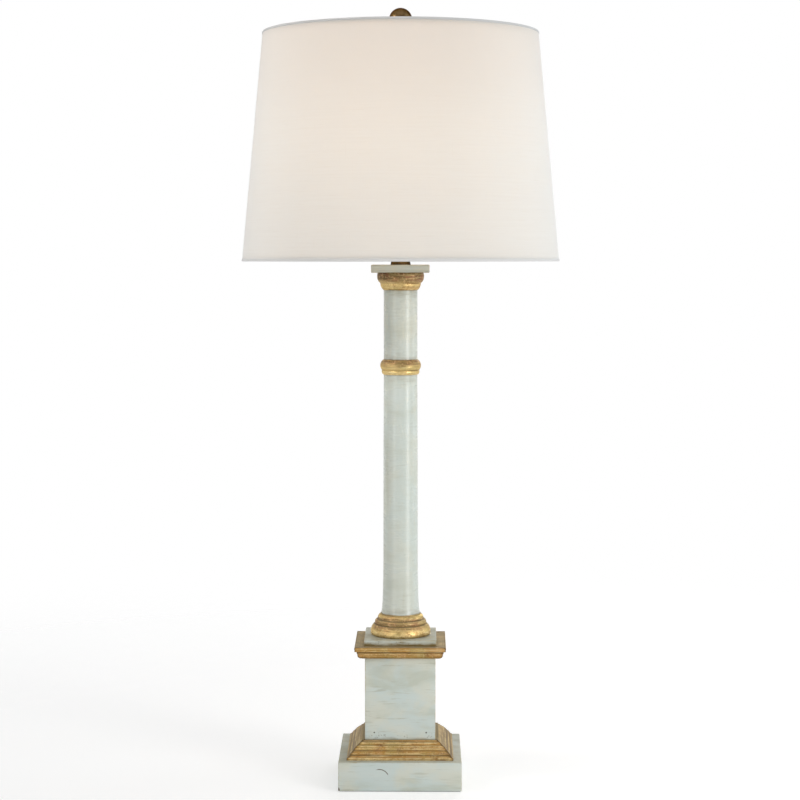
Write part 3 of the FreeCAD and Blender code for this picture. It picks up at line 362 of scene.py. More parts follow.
def metal(name, clean, dull, smooth, rough, patch, grain, depth, metallic=1, rim=(1, 1, 1)):
    """Bare or plated metal, clean in places and dull in others, its rim seen at a slant."""
    material, spot = new_finish(name)
    age = use(tarnish, spot, Patch=patch, Grain=grain)
    colour = layered(clean, (age["Patches"], dull), (times(age["Scuffs"], 0.35), clean))
    lay_on(colour, ramp(age["Patches"], 0, 1, smooth, rough), age["Relief"], depth, Metallic=metallic,
           Specular_Tint=rim)
    return material


def dress(material, *nodes):
    """Give CAD nodes that stay a finished material."""
    for node in nodes:
        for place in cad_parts[node].material_slots:
            place.material = material


plated = metal("plated_steel", (0.62, 0.63, 0.66), (0.4, 0.4, 0.4), 0.24, 0.42, 0.012, 0.0006, 0.00008)
cast = metal("cast_iron", (0.09, 0.085, 0.08), (0.04, 0.036, 0.034), 0.6, 0.85, 0.02, 0.0018, 0.0006, 0.5)
dress(plated, "lamp_pipe", "base_washer", "lock_washer", "base_nut", "cap_set_screw", "terminal_screws")
dress(cast, "ballast_weight")


# Bushing: a black moulded sleeve with a rounded flange, pressed into the back of the slab, that keeps
# the wood from cutting the flex where it leaves.
def outline(corners, step=0.0007, reach=0.0012):
    """Points (across, up, hollow) along straight and arc edges from corner to corner.

    A corner is (across, up, bulge, hollow, reach): the bulge is the rise of the edge that leaves it as a
    share of its chord, over 0 to the right; the hollow is 1 in a recess, -1 on a proud edge and 0
    elsewhere, and fades out over its reach.
    """
    corners = [(*corner, *(0, 0, 0, reach)[len(corner) - 1:]) for corner in corners]
    points = []
    for (across, up, bulge, *_), (end_across, end_up, *_) in zip(corners, corners[1:]):
        run = Vector((end_across - across, end_up - up))
        pieces = max(6 if bulge else 1, min(40, round(run.length / step)))
        if bulge:
            half = 2 * atan(2 * abs(bulge))
            radius = run.length / 2 / sin(half)
            along = run.normalized()
            out = Vector((along.y, -along.x)) * (1 if bulge > 0 else -1)
            middle = Vector((across, up)) + run / 2 - out * radius * cos(half)
            turns = [(2 * count / pieces - 1) * half for count in range(pieces)]
            points += [middle + radius * (out * cos(turn) + along * sin(turn)) for turn in turns]
        else:
            points += [Vector((across, up)) + run * (count / pieces) for count in range(pieces)]
    points.append(Vector(corners[-1][:2]))
    marked = [(Vector(corner[:2]), *corner[3:]) for corner in corners if corner[3]]
    traced = []
    for point in points:
        hollow = sum(sign * exp(-((point - corner).length / fade) ** 2) for corner, sign, fade in marked)
        traced.append((point.x, point.y, max(-1, min(1, hollow))))
    return traced


def thread_on(shape, knots, closed):
    """A chain of vertices and edges from places, each with how hollow the section is there."""
    layer = shape.verts.layers.float.new("hollow")
    chain = [shape.verts.new(place) for place, _ in knots]
    for vert, (_, hollow) in zip(chain, knots):
        vert[layer] = hollow
    pairs = list(zip(chain, chain[1:])) + ([(chain[-1], chain[0])] if closed else [])
    return chain, [shape.edges.new(pair) for pair in pairs]


def face_outwards(shape):
    bmesh.ops.recalc_face_normals(shape, faces=shape.faces)


def turned(points, steps=128):
    """A piece turned on a lathe about the upright axis from its section, closed where that is off it."""
    shape = bmesh.new()
    closed = points[0][0] > 0 and points[-1][0] > 0
    chain, edges = thread_on(shape, [((across, 0, up), hollow) for across, up, hollow in points], closed)
    bmesh.ops.spin(shape, geom=chain + edges, cent=(0, 0, 0), axis=(0, 0, 1), dvec=(0, 0, 0), angle=2 * pi,
                   steps=steps, use_merge=True, use_duplicate=False)
    bmesh.ops.remove_doubles(shape, verts=shape.verts, dist=1e-6)
    face_outwards(shape)
    return shape


def turned_to(shape, turn, place=(0, 0, 0)):
    """Turn a shape about the origin and set it in its place."""
    bmesh.ops.transform(shape, matrix=Matrix.Translation(place) @ turn, verts=shape.verts)
    return shape


def plastic(name, colour, roughness, grain, depth):
    """Moulded plastic with a fine grain and faint wipe marks."""
    material, spot = new_finish(name)
    age = use(tarnish, spot, Patch=0.03, Grain=grain)
    worn = tuple(min(1, part * 1.7 + 0.006) for part in colour)
    tone = blend(times(age["Patches"], 0.5), colour, worn)
    lay_on(tone, ramp(age["Patches"], 0, 1, roughness, roughness + 0.14), age["Relief"], depth)
    return material


bore, sleeve, flange = 0.0032, 0.0045, 0.0061
bushing = turned(outline([
    (bore, -0.014), (sleeve, -0.014), (sleeve, 0), (flange - 0.0002, 0, 0.3), (flange, 0.0005, 0.12),
    (flange - 0.0006, 0.0015, 0.05), (bore + 0.0006, 0.0015, 0.2), (bore, 0.0009), (bore, -0.014)]), steps=64)
turned_to(bushing, Matrix.Rotation(-pi / 2, 4, "X"), (0, slab_high.y, 0.008))
black = plastic("black_plastic", (0.014, 0.014, 0.015), 0.38, 0.0007, 0.00006)
hang("flex_bushing", bushing, black, "cord_bushing")


# Foot moulding: four strips of reeded wood, mitred at the corners and glued round the pedestal. They
# are gilded over red-brown clay; dark glaze stays in the mitres, glaze and painted shade in the
# quirks, and a painted highlight runs along the proud edges.
gilding, spot, given = new_group("gilding", Strokes=(14, 14, 260), Hollow=0, Brightness=0, Warmth=0, Toned=0)
drawn = stretched(spot, given["Strokes"])
streaks = cloud(drawn, 1, 5, 0.65, 0.4)
leaf = cloud(spot, 0.007, 7, 0.7, 0.5)
rubs = cloud(spot, 0.016, 8, 0.72, 0.8)
dust = cloud(spot, 0.0011, 4, 0.7)
warmth = cloud(spot, 0.021, 3, 0.5)
tone = plus(fused(streaks, -0.5, plus(leaf, 0.25)), given["Brightness"])
clay, glaze = ramp(rubs, 0.54, 0.66, 0, 0.75), ramp(streaks, 0.5, 0.72, 0, 0.7)
toned = times(given["Toned"], ramp(streaks, 0.38, 0.62, 0.5, 1))
dust_and_shade = use(upward_dust_and_shade, spot)[0]
redder = plus(ramp(rubs, 0.45, 0.6), given["Warmth"])
dabs = plus(ramp(cloud(spot, 0.0024, 3, 0.6, 0.6), 0.55, 0.62, 0, 0.75), given["Warmth"])
toner = blend(dabs, blend(redder, (0.15, 0.095, 0.036), (0.23, 0.105, 0.052)), (0.6, 0.37, 0.2))
# Bright flecks of leaf, which also stand in as painted glints of light on the gold.
long_flecks_and_glints = ramp(cloud(drawn, 0.45, 3, 0.6, 0.3), 0.57, 0.67, 0, 0.75)
flecks_and_glints = most(ramp(cloud(spot, 0.0019, 3, 0.65, 0.4), 0.57, 0.67, 0, 0.45), long_flecks_and_glints)
# Glaze and painted shade in the hollows of the section, darkest where it is most hollow.
gathered = ramp(fused(leaf, 0.7, given["Hollow"]), 0.4, 1.1)
gold = layered(
    blend(ramp(tone, 0.36, 0.66), (0.31, 0.19, 0.062), (0.62, 0.45, 0.19)),
    (given["Warmth"], (0.5, 0.265, 0.07)),
    (ramp(warmth, 0.5, 0.66, 0, 0.5), (0.56, 0.32, 0.14)),
    (ramp(warmth, 0.48, 0.34, 0, 0.5), (0.42, 0.35, 0.13)),
    # Painted highlight: pale gold on the proud edges of the section.
    (times(ramp(given["Hollow"], -0.1, -0.8), ramp(leaf, 0.35, 0.6)), (0.76, 0.58, 0.29)),
    (clay, (0.2, 0.088, 0.035)),
    (glaze, (0.16, 0.085, 0.028)),
    (toned, toner),
    (ramp(dust, 0.57, 0.7, 0, 0.6), (0.19, 0.11, 0.045)),
    # Dust and painted shade: upward faces of the gilding darker and duller.
    (times(dust_and_shade, 0.97), (0.275, 0.225, 0.14)),
    (times(flecks_and_glints, less(1, most(toned, dust_and_shade))), (0.78, 0.64, 0.34)),
    (times(gathered, 0.85), (0.1, 0.06, 0.022)))
covered = most(most(gathered, most(clay, glaze)), most(toned, dust_and_shade))
rough = fused(dust_and_shade, 0.3, ramp(dust, 0.3, 0.7, 0.25, 0.38))
lumps = fused(streaks, -0.9, fused(rubs, 0.9, fused(dust, 0.25, leaf)))
give_out(gilding, Color=gold, Roughness=fused(covered, 0.22, rough), Metallic=ramp(covered, 0, 1, 0.82, 0.3),
         Relief=fused(clay, -0.3, lumps))


def gilded(name, strokes, brightness, warmth=0, toned=(0, 0, 0, 0), depth=1):
    """Worn gold leaf, brown glaze along its strokes, glaze and painted shade in its hollows and a painted
    highlight on its proud edges.

    Toned is a share, and the heights where the toning starts, is full and stops.
    """
    material, spot = new_finish(name)
    hollow = add_node("Attribute", tree=spot.id_data, attribute_name="hollow").outputs["Fac"]
    share, from_up, full_up, top_up = toned
    up = fused(cloud(spot, 0.007, 4, 0.6), 0.004, less(split(spot)["Z"], 0.002))
    toning = times(ramp(up, from_up, full_up + 1e-4, 0, share), reckon("LESS_THAN", up, top_up))
    gold = use(gilding, spot, Strokes=strokes, Hollow=times(hollow, depth), Brightness=brightness,
               Warmth=warmth, Toned=toning)
    lay_on(gold["Color"], gold["Roughness"], gold["Relief"], 0.00032, Metallic=gold["Metallic"],
           Specular_Tint=(0.95, 0.82, 0.56))
    return material


def mitred_strip(points, inner, quarter):
    """One strip of a square frame of moulding: its section drawn out between two mitred ends."""
    shape = bmesh.new()
    hairline, creep, end_hollow = 0.00012, 0.0036, 0.6
    chain, edges = thread_on(shape, [((hairline - inner - out, -(inner + out), up), hollow)
                                     for out, up, hollow in points], closed=True)
    ends = [(chain, edges)]
    for side, inset in ((-1, creep), (1, creep), (1, 0)):
        made = bmesh.ops.extrude_edge_only(shape, edges=edges)["geom"]
        fresh = {item for item in made if isinstance(item, bmesh.types.BMVert)}
        edges = [edge for edge in shape.edges if edge.verts[0] in fresh and edge.verts[1] in fresh]
        for vert in fresh:
            vert.co.x = side * (-vert.co.y - hairline - inset)
    ends.append((fresh, edges))
    layer = shape.verts.layers.float["hollow"]
    for verts, edges in ends:
        bmesh.ops.edgeloop_fill(shape, edges=edges)
        for vert in verts:
            vert[layer] = max(end_hollow, vert[layer])
    face_outwards(shape)
    return turned_to(shape, Matrix.Rotation(quarter * pi / 2, 4, "Z"))


def frame_round(name, node, points, *golds):
    """Four mitred strips round the pedestal, with one gold for front and back and one for the sides."""
    for quarter, side in enumerate(side_names):
        strip = mitred_strip(points, pedestal_half, quarter)
        hang(name + side, strip, golds[quarter % 2], node + side)


def section(corners, width, foot, height, **steps):
    """The outline of a section whose corners are shares of its width and of its height."""
    return outline([(out * width, foot + up * height, *rest) for out, up, *rest in corners], **steps)


pedestal_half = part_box("pedestal_front")[1].x
moulding_low, moulding_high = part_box("base_moulding_front")
# Hollow marks: over 0 a quirk darkened with glaze and painted shade, under 0 a proud edge given a painted
# highlight.
reeds = section([
    (0, 0), (1, 0, 0, -1), (1, 0.1, 0, -1), (0.97, 0.14, 0, -0.6), (0.93, 0.155, 0, 0.24),
    (0.87, 0.235, 0, 0.22, 0.0013), (0.84, 0.287, 0, 0.36, 0.001), (0.8, 0.355, 0, -0.6),
    (0.75, 0.39, 0, 0.1), (0.68, 0.475, 0, 0.3, 0.001), (0.64, 0.53, 0, 0.3, 0.0007),
    (0.585, 0.605, 0, -1), (0.545, 0.625, 0, 0.2), (0.49, 0.7, 0, -1), (0.45, 0.725, -0.05, -0.1),
    (0.29, 0.875, 0, -0.9, 0.001), (0.2, 0.93), (0.17, 0.945), (0.17, 1), (0, 1)],
    -moulding_low.y - pedestal_half, moulding_low.z, moulding_high.z - moulding_low.z, reach=0.0006)
side_names = ("front", "right", "back", "left")
along_front, along_sides = (10, 260, 420), (260, 10, 420)
frame_round("foot_moulding_", "base_moulding_", reeds,
            gilded("reed_gold_front_back", along_front, -0.06, 0.6, depth=1.35),
            gilded("reed_gold_sides", along_sides, 0, -1, (0.9, -1, -0.9, 1), 2.2))


# Pedestal: a box of four boards, butted and nailed at the corners and painted as the slab is. Small
# brads show near its foot at front and back, punched a little below the paint.
box_low = Vector((-pedestal_half, -pedestal_half, moulding_low.z))
box_high = Vector((pedestal_half, pedestal_half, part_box("pedestal_front")[1].z))
board_paint = painted("board_paint", box_low, box_high + Vector((0, 0, 0.01)),
                      (moulding_high.z - 0.0022, box_high.z + 0.0075), (15, 15, 130), 0.006, 0.5,
                      marks=spatter(moulding_high.z, 0.013))
brad_radius, brad_reach, punched = 0.0009, 0.022, 0.0004
low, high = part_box("pedestal_brads")
brad_across, brad_middle, brad_up = high.x - brad_radius, high.y - brad_reach / 2, (low.z + high.z) / 2
lying = Matrix.Rotation(pi / 2, 4, "X")


def punch(board, face_back):
    """Two small holes in the outer face of a board, over the heads of its brads."""
    outer = max(board.faces, key=lambda face: face.calc_area() * (face.normal.y * face_back > 0.9))
    edges = list(outer.edges)
    bmesh.ops.delete(board, geom=[outer], context="FACES_ONLY")
    level = edges[0].verts[0].co.y
    rings = []
    for across in (-brad_across, brad_across):
        place = Matrix.Translation((across, level, brad_up)) @ lying
        ring = bmesh.ops.create_circle(board, segments=20, radius=brad_radius, matrix=place)["verts"]
        rings.append({edge for vert in ring for edge in vert.link_edges})
    bmesh.ops.triangle_fill(board, use_beauty=True, edges=edges + [edge for ring in rings for edge in ring])
    for ring in rings:
        made = bmesh.ops.extrude_edge_only(board, edges=list(ring))["geom"]
        sunk = [item for item in made if isinstance(item, bmesh.types.BMVert)]
        bmesh.ops.translate(board, verts=sunk, vec=(0, -face_back * punched, 0))
        bmesh.ops.contextual_create(board, geom=[edge for edge in board.edges
                                                 if edge.verts[0] in sunk and edge.verts[1] in sunk])
    face_outwards(board)


for side in side_names:
    board = soft_block(*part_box("pedestal_" + side), 0.0004)
    if side in ("front", "back"):
        punch(board, -1 if side == "front" else 1)
    hang("board_" + side, board, board_paint, "pedestal_" + side)
dress(board_paint, "pedestal_top")

brads = bmesh.new()
for across in (-brad_across, brad_across):
    for end in (-1, 1):
        place = Matrix.Translation((across, end * brad_middle, brad_up)) @ lying
        bmesh.ops.create_cone(brads, cap_ends=True, segments=24, radius1=brad_radius, radius2=brad_radius,
                              depth=brad_reach, matrix=place)
bmesh.ops.bevel(brads, geom=[edge for edge in brads.edges if edge.calc_face_angle(0) > 1],
                offset=0.0002, segments=2, profile=0.5, affect="EDGES", material=-1)
iron = metal("brad_iron", (0.1, 0.085, 0.07), (0.05, 0.035, 0.025), 0.5, 0.75, 0.001, 0.0003, 0.00005, 0.6)
hang("brad_heads", brads, iron, "pedestal_brads")


# Cornice: a second gilded frame of mitred moulding round the head of the pedestal, with a hollow
# under its lip.
low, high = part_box("cornice_front")
# The mark under the lip paints shade there with the glaze; the marks under 0 are painted highlights on the
# proud edges.
lip = section([
    (0, 0), (0.24, 0), (0.3, 0.02), (0.42, 0.05, 0.2, 0.1, 0.0018), (0.7, 0.44, 0, -0.6), (0.76, 0.5),
    (0.78, 0.62, 0, 1, 0.0016), (0.98, 0.66, -0.06, -0.3), (1, 0.9, 0, -0.5), (0.97, 1, 0, 0.6, 0.0014),
    (0.5, 1), (0, 1)],
    -low.y - pedestal_half, low.z, high.z - low.z)
frame_round("lip_moulding_", "cornice_", lip, gilded("lip_gold_front_back", along_front, -0.12, 0.5),
            gilded("lip_gold_sides", along_sides, 0, 0.2))


# Block: a thin painted square of wood under the column, held by the pipe that runs through it. Dark
# glaze is caught along its foot.
low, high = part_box("plinth_block")
block_paint = painted("block_paint", low - Vector((0, 0, 0.01)), high, (low.z, 1), (14, 14, 330), 0.0068, 1.2,
                      0.21, marks=spatter(low.z, 0.009))
hang("column_block", soft_block(low, high, 0.0007), block_paint, "plinth_block")


# Column: turned base, lower shaft, ring, upper shaft and capital, all drilled for the pipe. The
# shafts are painted, and the turned rings between them gilded and toned.
pipe_hole = 0.0055


def column_ring(node, name, radius, corners, brightness, toned):
    """A gilded turned ring of the column, its section in shares of its radius and height."""
    low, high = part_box(node)
    height = high.z - low.z
    ring = section([(pipe_hole / radius, 0), *corners, (pipe_hole / radius, 1)],
                   radius, low.z, height, step=0.0005, reach=0.0009)
    share, *levels = toned
    toned = (share, *(low.z + level * height for level in levels))
    gold = gilded(name + "_gold", (20, 20, 330), brightness, 0, toned)
    hang(name, turned(ring, steps=144), gold, node)


def shaft(node, name, corners, tone=0.06):
    """A painted length of the column, its heights in shares, glazed where it meets a ring."""
    material, spot = new_finish(name + "_paint")
    low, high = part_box(node)
    gathered, close = (
        use(near_ends, spot, Foot=low.z, Head=high.z, Reach=reach)[0] for reach in (0.009, 0.0016))
    bands = cloud(stretched(spot, (45, 45, 5)), 1, 3, 0.5, 0.3)
    toned = most(times(ramp(bands, 0.5, 0.78), 0.3), times(gathered, 0.3))
    toned = plus(most(toned, times(close, 0.75)), tone)
    paint = use(aged_paint, spot, Strokes=(26, 26, 220), Streaks=0.45, Gloss=0.06, Glaze=toned)
    lay_on(paint["Color"], paint["Roughness"], paint["Relief"], 0.0002)
    points = section([(pipe_hole, 0), *corners, (pipe_hole, 1)], 1, low.z, high.z - low.z, step=0.004)
    hang(name, turned(points, steps=144), material, node)


# Hollow marks in these sections darken the grooves with glaze and painted shade; those under 0 are painted
# highlights on the torus and beads.
column_ring("column_base", "turned_base", 0.0363, [
    (0.915, 0, 0.2, 0.5, 0.0009), (0.99, 0.09, 0.12, -0.55, 0.0045), (0.893, 0.505, 0, 0.2),
    (0.838, 0.518, 0.24, 0.3), (0.785, 0.736, 0, 0.35), (0.76, 0.752, 0.17, 0.35), (0.667, 0.973, 0, 0.4),
    (0.667, 1)], 0.1, (0.72, 0.34, 0.44, 0.85))
swell, top_radius = 0.0208, 0.0202
shaft("lower_shaft", "long_shaft", [
    (0.0234, 0, -0.02), (swell * 1.043, 0.062, -0.004), (swell, 0.24), (swell * 0.99, 0.69), (top_radius, 1)])
column_ring("shaft_collar", "turned_ring", 0.0247, [
    (0.845, 0, 0.14, -0.9, 0.003), (0.915, 0.26, 0, 0.3), (0.9, 0.29, 0.23, 0.2), (0.835, 1, 0, 0.4)],
    0.24, (0.9, 0.4, 0.75, 2))
# The upper shaft is toned darker than the lower one: olive glaze and painted shade under the lampshade.
shaft("upper_shaft", "short_shaft", [(top_radius, 0), (top_radius, 1)], 0.13)
column_ring("capital", "turned_capital", 0.028, [
    (0.735, 0, 0.1, 0.3), (0.865, 0.36, 0, 0.1), (0.878, 0.41, 0.12, 0.1), (1, 0.755, 0.06, -0.1),
    (0.975, 1, 0, 0.6)], 0.08, (1.25, 0.3, 0.6, 2))


# Abacus: the painted square plate of wood that closes the column, held by the pipe as the block is.
# Fine strokes of the brush run along its edge.
low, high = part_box("abacus")
# Its toning is partly olive glaze and partly painted shade from the lampshade above it.
plate_paint = painted("plate_paint", low, high, (low.z, 1), (9, 9, 420), 0.0016, 0.4, 0.37)
hang("column_plate", soft_block(low, high, 0.0008), plate_paint, "abacus")


# Neck cap: a small turned brass cone, darkened with acid, that hides the pipe above the column. It
# sits on the abacus, under the socket.
old_brass = metal("antiqued_brass", (0.16, 0.1, 0.045), (0.075, 0.047, 0.02), 0.3, 0.45, 0.009, 0.0006,
                  0.00008, rim=(0.25, 0.17, 0.09))
low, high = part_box("neck_cap")
cap = section([
    (0.42, 0), (0.985, 0, 0.2), (1, 0.03), (1, 0.09, 0.2), (0.985, 0.12, 0.1), (0.67, 0.88, 0.1),
    (0.64, 0.985), (0.62, 1), (0.42, 1)], high.x, low.z, high.z - low.z, step=0.0005)
hang("brass_neck", turned(cap, steps=96), old_brass, "neck_cap")


# Harp: a brass wire bent over the bulb, its ends in two sleeves that slide down over the prongs of a
# flat saddle. A stud that swivels in its crown carries the shade.
brass = metal("lacquered_brass", (0.78, 0.58, 0.27), (0.6, 0.42, 0.17), 0.16, 0.34, 0.015, 0.0007, 0.00004)
dress(brass, "harp_saddle")
wire_radius, half_span, half_width, shoulder = 0.002, 0.026, 0.057, 0.045
low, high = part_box("harp_wire")
wire_foot, crown, flare_foot = low.z, high.z - wire_radius, low.z + 0.02
flare_out, flare_up = (half_width - half_span) / 2, 0.035
flare = (hypot(flare_out, flare_up) - flare_up) / flare_out / 2
quarter_bend = (sqrt(2) - 1) / 2
climb = [(across, up) for across, up, _ in outline([
    (half_span, wire_foot), (half_span, flare_foot, -flare),
    (half_span + flare_out, flare_foot + flare_up, flare), (half_width, flare_foot + 2 * flare_up),
    (half_width, crown - shoulder, quarter_bend), (half_width - shoulder, crown), (0, crown)], step=0.003)]
harp_line = climb + [(-across, up) for across, up in reversed(climb[:-1])]
bend = bpy.data.curves.new("harp_bend", "CURVE")
bend.dimensions, bend.bevel_depth, bend.bevel_resolution, bend.use_fill_caps = "3D", wire_radius, 5, True
wire = bend.splines.new("POLY")
wire.points.add(len(harp_line) - 1)
for point, (across, up) in zip(wire.points, harp_line):
    point.co = (across, 0, up, 1)
holder = bpy.data.objects.new("harp_bend", bend)
wire_mesh = bpy.data.meshes.new_from_object(holder)
bpy.data.objects.remove(holder)


def rounded(inner, outer, foot, head, soft=0.0004):
    """The section of a ring or a disc with its outer edges eased."""
    return outline([(inner, foot), (outer - soft, foot, 0.2), (outer, foot + soft), (outer, head - soft, 0.2),
                    (outer - soft, head), (inner, head)], step=0.002)


harp = turned(rounded(0.00226, 0.007, crown - wire_radius, crown + wire_radius), steps=48)
harp.from_mesh(wire_mesh)
bpy.data.meshes.remove(wire_mesh)
hang("harp_bow", harp, brass, "harp_wire")

hole, waist, lipped = 0.00206, 0.0031, 0.0035
for side, across in (("left", -half_span), ("right", half_span)):
    low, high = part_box("harp_sleeve_" + side)
    collar = turned(outline([
        (hole, low.z), (0.0032, low.z, 0.2), (lipped, low.z + 0.0003), (lipped, low.z + 0.0022, -0.2),
        (waist, low.z + 0.0028), (waist, high.z - 0.0028, -0.2), (lipped, high.z - 0.0022),
        (lipped, high.z - 0.0003, 0.2), (0.0032, high.z), (hole, high.z)]), steps=48)
    turned_to(collar, Matrix(), (across, 0, 0))
    hang("sleeve_of_harp_" + side, collar, brass, "harp_sleeve_" + side, "sleeve_" + side)

low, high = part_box("harp_stud")
seat_foot, seat_head = crown + wire_radius, crown + wire_radius + 0.0016
thread, thread_foot, pitch, ridge = 0.0031, seat_head + 0.001, 0.00094, 0.00028
turns = int((high.z - 0.0006 - thread_foot) / pitch)
ridges = [(thread - ridge * (step % 2), thread_foot + step * pitch / 2) for step in range(2 * turns + 1)]
stud = turned(outline([
    (0, low.z), (0.0032, low.z, 0.2), (0.0036, low.z + 0.0004), (0.0036, low.z + 0.0012),
    (0.0022, low.z + 0.0012), (0.0022, seat_foot), (0.0076, seat_foot, 0.2), (0.008, seat_foot + 0.0004),
    (0.008, seat_head - 0.0004, 0.2), (0.0076, seat_head), (thread, seat_head), *ridges,
    (0.0026, high.z - 0.0001), (0.0024, high.z), (0, high.z)], step=0.002), steps=48)
hang("swivel_stud", stud, brass, "harp_stud", "stud")


# Socket: a brass cap screwed on the pipe, a brass shell with its card sleeve, and the black moulded
# interior with the screw shell, the contact and the rotary switch.
rolled = metal("rolled_aluminium", (0.8, 0.8, 0.81), (0.6, 0.6, 0.61), 0.22, 0.36, 0.01, 0.0008, 0.00004)
dress(brass, "socket_cap", "socket_shell", "socket_contact", "switch_spindle")
dress(rolled, "socket_screw_shell")
moulding_black = plastic("moulded_black", (0.012, 0.011, 0.01), 0.26, 0.0009, 0.00004)
dress(moulding_black, "socket_interior")

card, spot = new_finish("insulating_card")
fibre = cloud(stretched(spot, (300, 300, 1500)), 1)
brown = blend(cloud(spot, 0.0022, 6, 0.7), (0.36, 0.28, 0.18), (0.48, 0.4, 0.29))
lay_on(brown, ramp(fibre, 0.2, 0.8, 0.75, 0.95), fibre, 0.00008)
dress(card, "socket_insulator")

low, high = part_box("switch_knob")
length, radius = high.y - low.y, high.x
knob = turned(outline([
    (0.002, 0), (radius * 0.76, 0, 0.15), (radius * 0.8, 0.0004), (radius, length * 0.2),
    (radius, length * 0.85, 0.15), (radius * 0.8, length, 0.04), (0, length)], step=0.001), steps=120)
ribs, rib_depth = 20, 0.075
for vert in knob.verts:
    if hypot(*vert.co.xy) > radius * 0.93:
        groove = 0.5 - 0.5 * cos(ribs * atan2(vert.co.y, vert.co.x))
        vert.co.xy *= 1 - rib_depth * groove ** 2
turned_to(knob, Matrix.Rotation(pi / 2, 4, "X"), (0, high.y, (low.z + high.z) / 2))
hang("ribbed_knob", knob, moulding_black, "switch_knob", "switch")


# Bulb: a frosted globe on an aluminium screw cap with a soldered tip. It is lit, and its warm light
# comes through the shade. To the eye it is a warm white ball that is a little darker at its limb.
frost, spot = new_finish("frosted_glass")
low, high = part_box("bulb_glass")
etched = cloud(spot, 0.0009, 4, 0.7)
milk = blend(etched, (0.5, 0.46, 0.39), (0.6, 0.55, 0.48))
glow = blend(ramp(split(spot)["Z"], low.z, low.z + 0.04), (0.5, 0.3, 0.15), (1, 0.69, 0.44))
limb = ramp(add_node("LayerWeight", tree=spot.id_data).outputs["Facing"], 0, 0.85)
shown = blend(limb, (0.07, 0.056, 0.036), (0.006, 0.003, 0.001))
glow = blend(add_node("LightPath", tree=spot.id_data).outputs["Is Camera Ray"], glow, shown)
lay_on(milk, ramp(etched, 0.2, 0.8, 0.42, 0.6), etched, 0.00003, Emission_Color=glow, Emission_Strength=15)


def ball_arc(ball, up, angle):
    """The corner where the section of a ball begins, at an angle under its equator, up to its top."""
    return ball * cos(angle), up - ball * sin(angle), tan((pi / 2 + angle) / 4) / 2


globe, neck, neck_top = high.x, 0.013, low.z + (high.z - low.z) * 0.05
glass = turned(outline([
    (neck - 0.0009, low.z), (neck, low.z), (neck, neck_top, -0.04),
    ball_arc(globe, high.z - globe, radians(26)), (0, high.z)], step=0.0015), steps=96)
bmesh.ops.edgeloop_fill(glass, edges=[edge for edge in glass.edges if edge.is_boundary])
face_outwards(glass)
hang("globe_of_bulb", glass, frost, "bulb_glass", "bulb")

low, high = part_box("bulb_cap")
cap_radius, first_turn, pitch = 0.0122, low.z + 0.0062, 0.0038
threads = [(cap_radius, first_turn + half * pitch / 2, -0.3 if half % 2 else 0.3) for half in range(8)]
screw_cap = turned(outline([
    (0, low.z + 0.0002), (0.0078, low.z), (cap_radius, low.z + 0.0036), *threads,
    (cap_radius, high.z - 0.0026), (0.0129, high.z - 0.001), (0.0129, high.z), (0, high.z)],
    step=0.0012), steps=72)
hang("screw_cap", screw_cap, rolled, "bulb_cap", "bulb")
solder = metal("solder", (0.66, 0.66, 0.66), (0.42, 0.42, 0.42), 0.28, 0.5, 0.003, 0.0004, 0.00003)
low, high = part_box("bulb_contact")
tip = turned(outline([
    (0, low.z), (0.0027, low.z, 0.15), (0.0045, low.z + 0.0012), (0.0045, high.z), (0, high.z)]), steps=40)
hang("soldered_tip", tip, solder, "bulb_contact", "bulb")


# Shade: a brass spider and two white wire rings carry a stiff styrene liner, and the linen is glued
# over it with one lapped seam at the back. Narrow bands of the same linen are folded over both rims,
# coloured a darker grey as painted shade.
low, washer_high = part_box("spider_washer")
washer = turned(rounded(0.0036, washer_high.x, low.z, washer_high.z), steps=72)
hang("spider_hub", washer, brass, "spider_washer", "shade")

white_wire, spot = new_finish("white_coated_wire")
peel = cloud(spot, 0.0015, 3, 0.6)
coating = blend(cloud(spot, 0.03), (0.78, 0.77, 0.74), (0.84, 0.83, 0.8))
lay_on(coating, ramp(peel, 0.3, 0.7, 0.35, 0.5), peel, 0.00006)
ring_wire = 0.0015
for end in ("top", "bottom"):
    low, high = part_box(f"shade_{end}_ring")
    hoop_up, hoop_radius = (low.z + high.z) / 2, high.x - ring_wire
    quarters = [(hoop_radius + ring_wire * out, hoop_up + ring_wire * up, quarter_bend)
                for out, up in ((0, -1), (1, 0), (0, 1), (-1, 0), (0, -1))]
    hoop = turned(outline(quarters, step=0.0008)[:-1], steps=180)
    hang(f"{end}_hoop", hoop, white_wire, f"shade_{end}_ring", "shade")

arm_wire, arm_start = 0.0016, 0.0095
arm_foot = Vector((arm_start, 0, washer_high.z + arm_wire))
low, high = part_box("shade_top_ring")
arm_run = Vector((high.x - 2 * ring_wire, 0, (low.z + high.z) / 2)) - arm_foot
for number, heading in ((1, 90), (2, 210), (3, 330)):
    arm = turned(outline([
        (0, 0), (arm_wire * 0.7, 0, 0.2), (arm_wire, arm_wire * 0.3), (arm_wire, arm_run.length),
        (0, arm_run.length)], step=0.02), steps=24)
    lean = arm_run.to_track_quat("Z", "Y").to_matrix().to_4x4()
    turned_to(arm, Matrix.Rotation(radians(heading), 4, "Z") @ Matrix.Translation(arm_foot) @ lean)
    hang(f"spider_rod_{number}", arm, brass, f"spider_arm_{number}", "shade")


def let_through(share, shader, other):
    """Mix a share of a second shader into the one that ends a material."""
    mixed = add_node("MixShader", {0: share, 1: shader.outputs[0], 2: other.outputs[0]})
    end = next(node for node in mixed.id_data.nodes if node.type == "OUTPUT_MATERIAL")
    mixed.id_data.links.new(mixed.outputs[0], end.inputs["Surface"])


